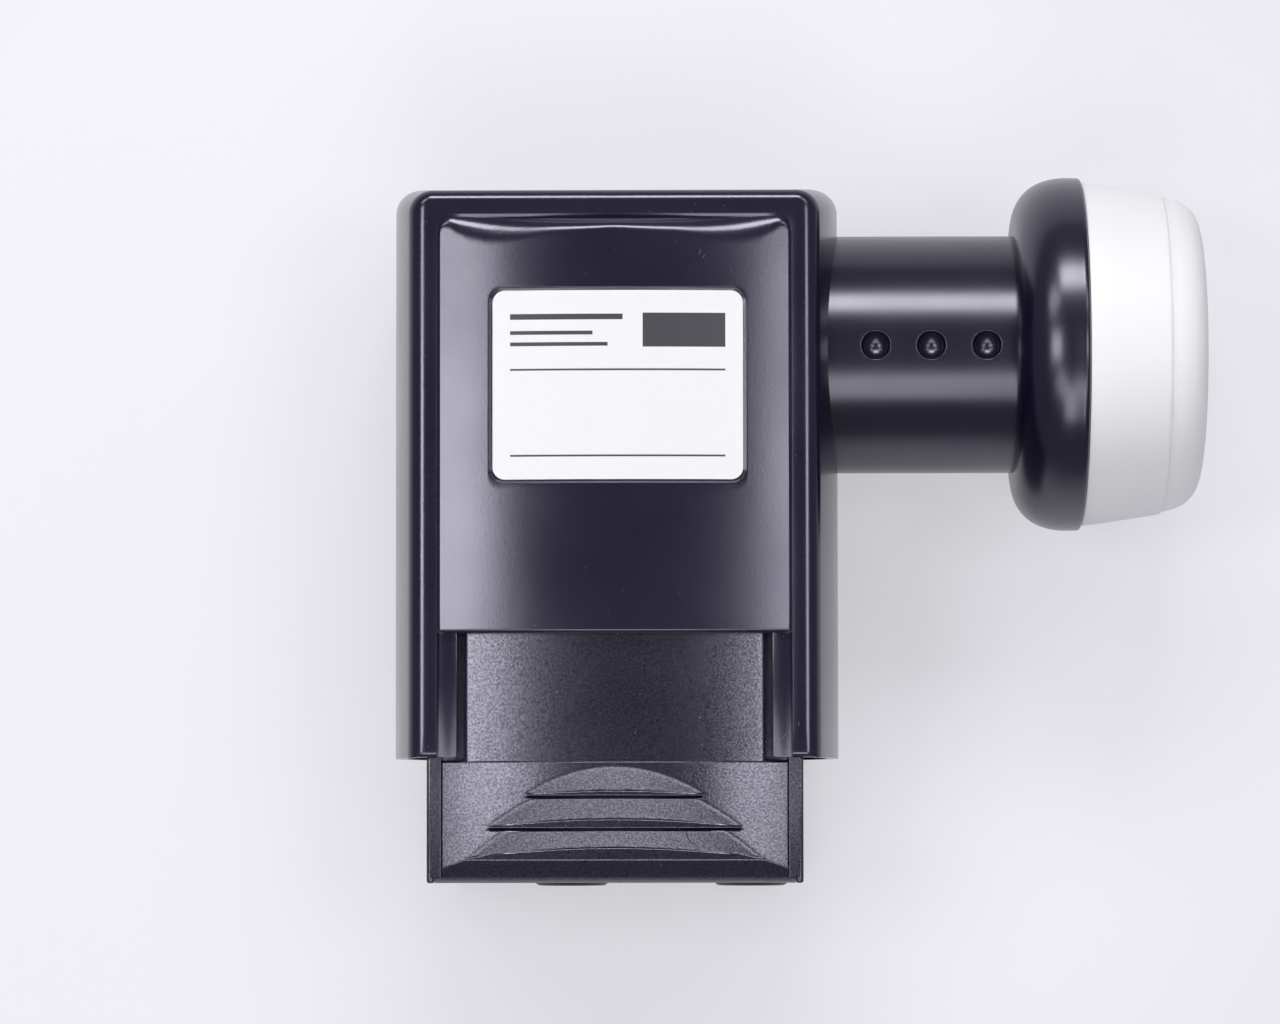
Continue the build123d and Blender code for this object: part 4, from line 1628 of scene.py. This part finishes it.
@dataclass
class Studio:
    """Pale floor, soft boxes, dim room and the camera above the object."""

    floor_z: float = -30.05
    floor_colour: tuple[float, float, float] = (0.87, 0.848, 0.925)
    glow_colour: tuple[float, float, float] = (0.925, 0.92, 0.957)
    # Share of the floor colour left far from the object: a painted falloff of light.
    painted_far_share: float = 0.5
    glow_share: float = 0.48
    gloss_share: float = 0.8
    room_low: float = 0.24
    room_high: float = 0.12
    lens: float = 153.57
    camera_place: tuple[float, float, float] = (-37.84, -76.07, 920.78)
    camera_turn: tuple[float, float, float] = (0.05376, 0.01189, -0.00124)

    BOXES = (
        SoftBox("box_left", 23.8, 180.0, 0.33, 0.34, 7.8, 0.03),
        SoftBox("box_right", 24.5, 0.0, 0.30, 0.34, 5.7, 0.03),
        SoftBox("box_upper", 48.0, 90.0, 0.36, 0.62, 10.6, -0.025),
        SoftBox("box_lower", 35.0, -90.0, 0.50, 0.38, 3.7, -0.025),
        SoftBox("box_lower_left", 27.0, 236.0, 0.34, 0.40, 3.0, -0.025),
        SoftBox("box_lower_right", 27.0, 304.0, 0.34, 0.40, 2.6, -0.025),
        SoftBox("box_upper_left", 42.0, 130.0, 0.32, 0.40, 4.1, -0.025),
        SoftBox("box_upper_right", 42.0, 50.0, 0.30, 0.40, 3.4, -0.025))

    def build(self) -> None:
        """Set up the scene round the object."""
        scene = bpy.context.scene
        scene.view_settings.view_transform = "Standard"
        self._floor()
        self._room()
        for box in self.BOXES:
            box.build()
        camera = bpy.data.objects.new("camera", bpy.data.cameras.new("camera"))
        camera.data.lens = self.lens
        camera.data.sensor_width = 36.0
        camera.data.clip_start = 0.01
        rx, ry, rz = self.camera_turn
        turn = Matrix.Rotation(rz, 4, "Z") @ Matrix.Rotation(ry, 4, "Y") @ Matrix.Rotation(rx, 4, "X")
        camera.matrix_world = Matrix.Translation(Vector(self.camera_place) * MM) @ turn
        scene.collection.objects.link(camera)
        scene.camera = camera

    def _floor(self) -> None:
        """Lay the pale floor, its colour painted darker away from the object as a painted falloff of light.
        """
        board = NodeBoard("pale_table")
        coords = board.add("ShaderNodeTexCoord")
        noise = board.add("ShaderNodeTexNoise", {"Scale": 6.0, "Detail": 4.0})
        shade = board.ramp(((0.3, scaled(self.floor_colour, 0.985)), (0.7, self.floor_colour)))
        # Painted falloff of light: the floor colour stays full within 0.12 m of the object and is painted
        # darker beyond it, down to the far share at 0.30 m, so the far floor is seen darker and reflects
        # darker.
        centre = board.add("ShaderNodeVectorMath")
        centre.operation = "DISTANCE"
        centre.inputs[1].default_value = (-0.085, -0.04, self.floor_z * MM)
        painted_falloff = board.ramp(((0.12, (1.0,) * 3), (0.30, (self.painted_far_share,) * 3)))
        dim = board.mix("MULTIPLY")
        board.link(coords, "Object", noise, "Vector")
        board.link(coords, "Object", centre, 0)
        board.link(centre, "Value", painted_falloff, "Fac")
        board.link(noise, "Fac", shade, "Fac")
        board.link(shade, "Color", dim, MIX_FIRST)
        board.link(painted_falloff, "Color", dim, MIX_SECOND)
        board.link(dim, MIX_RESULT, board.shader, "Base Color")
        board.shader.inputs["Roughness"].default_value = 0.65
        rays = board.add("ShaderNodeLightPath")
        either = board.math("MULTIPLY_ADD", self.gloss_share)
        share = board.math("MULTIPLY", self.glow_share)
        glow = board.add("ShaderNodeEmission", {"Strength": 1.0})
        glow.inputs["Color"].default_value = (*self.glow_colour, 1.0)
        blend = board.add("ShaderNodeMixShader")
        board.link(rays, "Is Glossy Ray", either, 0)
        board.link(rays, "Is Camera Ray", either, 2)
        board.link(either, 0, share, 0)
        board.link(share, 0, blend, 0)
        board.link(board.shader, "BSDF", blend, 1)
        board.link(glow, "Emission", blend, 2)
        board.link(blend, "Shader", board.tree.nodes["Material Output"], "Surface")
        reach = 2.5
        mesh = bpy.data.meshes.new("floor")
        z = self.floor_z * MM
        mesh.from_pydata([(-reach, -reach, z), (reach, -reach, z), (reach, reach, z), (-reach, reach, z)], [],
                         [(0, 1, 2, 3)])
        mesh.materials.append(board.material)
        floor = bpy.data.objects.new("floor", mesh)
        bpy.context.scene.collection.objects.link(floor)

    def _room(self) -> None:
        """Give the room a dim even light."""
        world = bpy.data.worlds.new("room")
        world.use_nodes = True
        tree = world.node_tree
        back = tree.nodes["Background"]
        coords = tree.nodes.new("ShaderNodeTexCoord")
        split = tree.nodes.new("ShaderNodeSeparateXYZ")
        level = tree.nodes.new("ShaderNodeMapRange")
        level.inputs["From Min"].default_value = 0.0
        level.inputs["From Max"].default_value = 0.95
        level.inputs["To Min"].default_value = self.room_low
        level.inputs["To Max"].default_value = self.room_high
        tree.links.new(coords.outputs["Generated"], split.inputs["Vector"])
        tree.links.new(split.outputs["Z"], level.inputs["Value"])
        tree.links.new(level.outputs["Result"], back.inputs["Strength"])
        back.inputs["Color"].default_value = (0.93, 0.93, 1.0, 1.0)
        bpy.context.scene.world = world


class Finishes:
    """All finishes of the object, made once."""

    def __init__(self) -> None:
        """Make the materials."""
        black = (0.0098, 0.0075, 0.0235)
        cool = (0.88, 0.86, 1.0)
        self.cover = MouldedPlastic("cover_black", black, 0.19, Sheen.SATIN, 0.007, 0.12, 1.75, cool).build()
        self.shield = MouldedPlastic(
            "shield_black", (0.0100, 0.0080, 0.020), 0.23, Sheen.GRAINED, 0.012, 0.30, 2.04,
            (0.87, 0.83, 1.0), stipple=0.48).build()
        self.neck = MouldedPlastic(
            "neck_black", (0.0055, 0.0040, 0.0155), 0.25, Sheen.SMOOTH, 0.004, 0.05, 1.75, cool).build()
        self.cap = MouldedPlastic(
            "cap_white", (0.90, 0.90, 0.92), 0.52, Sheen.SMOOTH, 0.004, drift=0.008).build()
        self.scuff = MouldedPlastic("scuff_grey", (0.13, 0.13, 0.15), 0.5, Sheen.SMOOTH, 0.004).build()
        self.dust = MouldedPlastic("dust_cap_black", (0.014, 0.013, 0.02), 0.45, Sheen.SATIN, 0.01).build()
        self.seal = MouldedPlastic("seal_rubber", (0.02, 0.02, 0.022), 0.7, Sheen.GRAINED, 0.02).build()
        self.insulator = MouldedPlastic("insulator_white", (0.8, 0.8, 0.78), 0.4, Sheen.SMOOTH, 0.004).build()
        self.board = MouldedPlastic("board_green", (0.03, 0.16, 0.07), 0.4, Sheen.SMOOTH, 0.004).build()
        self.chip = MouldedPlastic("component_dark", (0.03, 0.03, 0.033), 0.5, Sheen.SATIN, 0.008).build()
        self.cast = PlatedMetal("cast_metal", (0.52, 0.53, 0.55), 0.45, 900.0, 0.02, 0.13).build()
        self.socket = PlatedMetal("socket_nickel", (0.66, 0.64, 0.60), 0.26, 700.0).build()
        self.brass = PlatedMetal("contact_brass", (0.75, 0.58, 0.28), 0.3, 1500.0).build()
        self.screw = PlatedMetal("screw_zinc", (0.56, 0.56, 0.57), 0.33, 1500.0).build()
        self.label = PrintedFilm("label_film", (0.88, 0.88, 0.90), (0.055, 0.052, 0.066)).build()


def place(piece: bpy.types.Object, body: Body, *nodes: str) -> None:
    """Ride a piece on its body in place of its CAD nodes.

    Args:
        piece: Finished piece.
        body: Body that carries it.
        nodes: Nodes that it stands for.
    """
    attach(piece, body.value)
    if nodes:
        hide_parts(*nodes)
    LOG.info("%s rides on %s, %d faces", piece.name, body.value, len(piece.data.polygons))


def dress_inside(nodes: dict[str, bpy.types.Object], finishes: Finishes) -> None:
    """Give the pieces inside the housing their finishes.

    Args:
        nodes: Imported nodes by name.
        finishes: Finishes of the object.
    """
    chosen = {
        "chassis": finishes.cast, "chassis_lid": finishes.cast, "feed_horn": finishes.cast,
        "shield_can": finishes.socket, "circuit_board": finishes.board, "lid_gasket": finishes.seal,
        "cap_seal": finishes.seal, "probe_beads": finishes.insulator, "probe_vertical": finishes.brass,
        "probe_horizontal": finishes.brass}
    for name, node in nodes.items():
        finish = chosen.get(name, finishes.chip)
        if name.endswith("screws"):
            finish = finishes.screw
        elif name.startswith("f_insulator"):
            finish = finishes.insulator
        elif name.startswith("f_contact"):
            finish = finishes.brass
        node.data.materials.clear()
        node.data.materials.append(finish)


def main() -> None:
    """Build every piece, then the studio."""
    logging.basicConfig(level=logging.INFO, format="%(message)s")
    finishes = Finishes()
    dress_inside(frame["nodes"], finishes)
    form = Housing()
    front = FrontCover(form)
    place(front.build(finishes.cover), Body.HOUSING, "front_cover")
    place(Scuffs(front).build(finishes.scuff), Body.HOUSING)
    place(RearCover(form).build(finishes.cover), Body.HOUSING, "rear_cover")
    shield = WeatherShield()
    place(shield.build(finishes.shield), Body.SHIELD, "weather_shield")
    place(shield.hair(finishes.dust), Body.SHIELD)
    place(NeckSleeve().build(finishes.neck), Body.HOUSING, "neck_sleeve")
    horn = HornEnd()
    place(horn.collar(finishes.neck), Body.HOUSING, "horn_collar")
    place(horn.cap(finishes.cap), Body.HOUSING, "feed_cap")
    place(LabelFilm(front).build(finishes.label), Body.HOUSING, "label")
    sockets = ScrewSockets()
    place(sockets.bodies(finishes.socket), Body.HOUSING, *["f_connector_%d" % i for i in (1, 2, 3, 4)])
    place(sockets.threads(finishes.socket), Body.HOUSING)
    place(sockets.dust_cap(2, finishes.dust), Body.CAP_2, "dust_cap_2")
    place(sockets.dust_cap(4, finishes.dust), Body.CAP_4, "dust_cap_4")
    Studio().build()


if __name__ == "__main__":
    main()
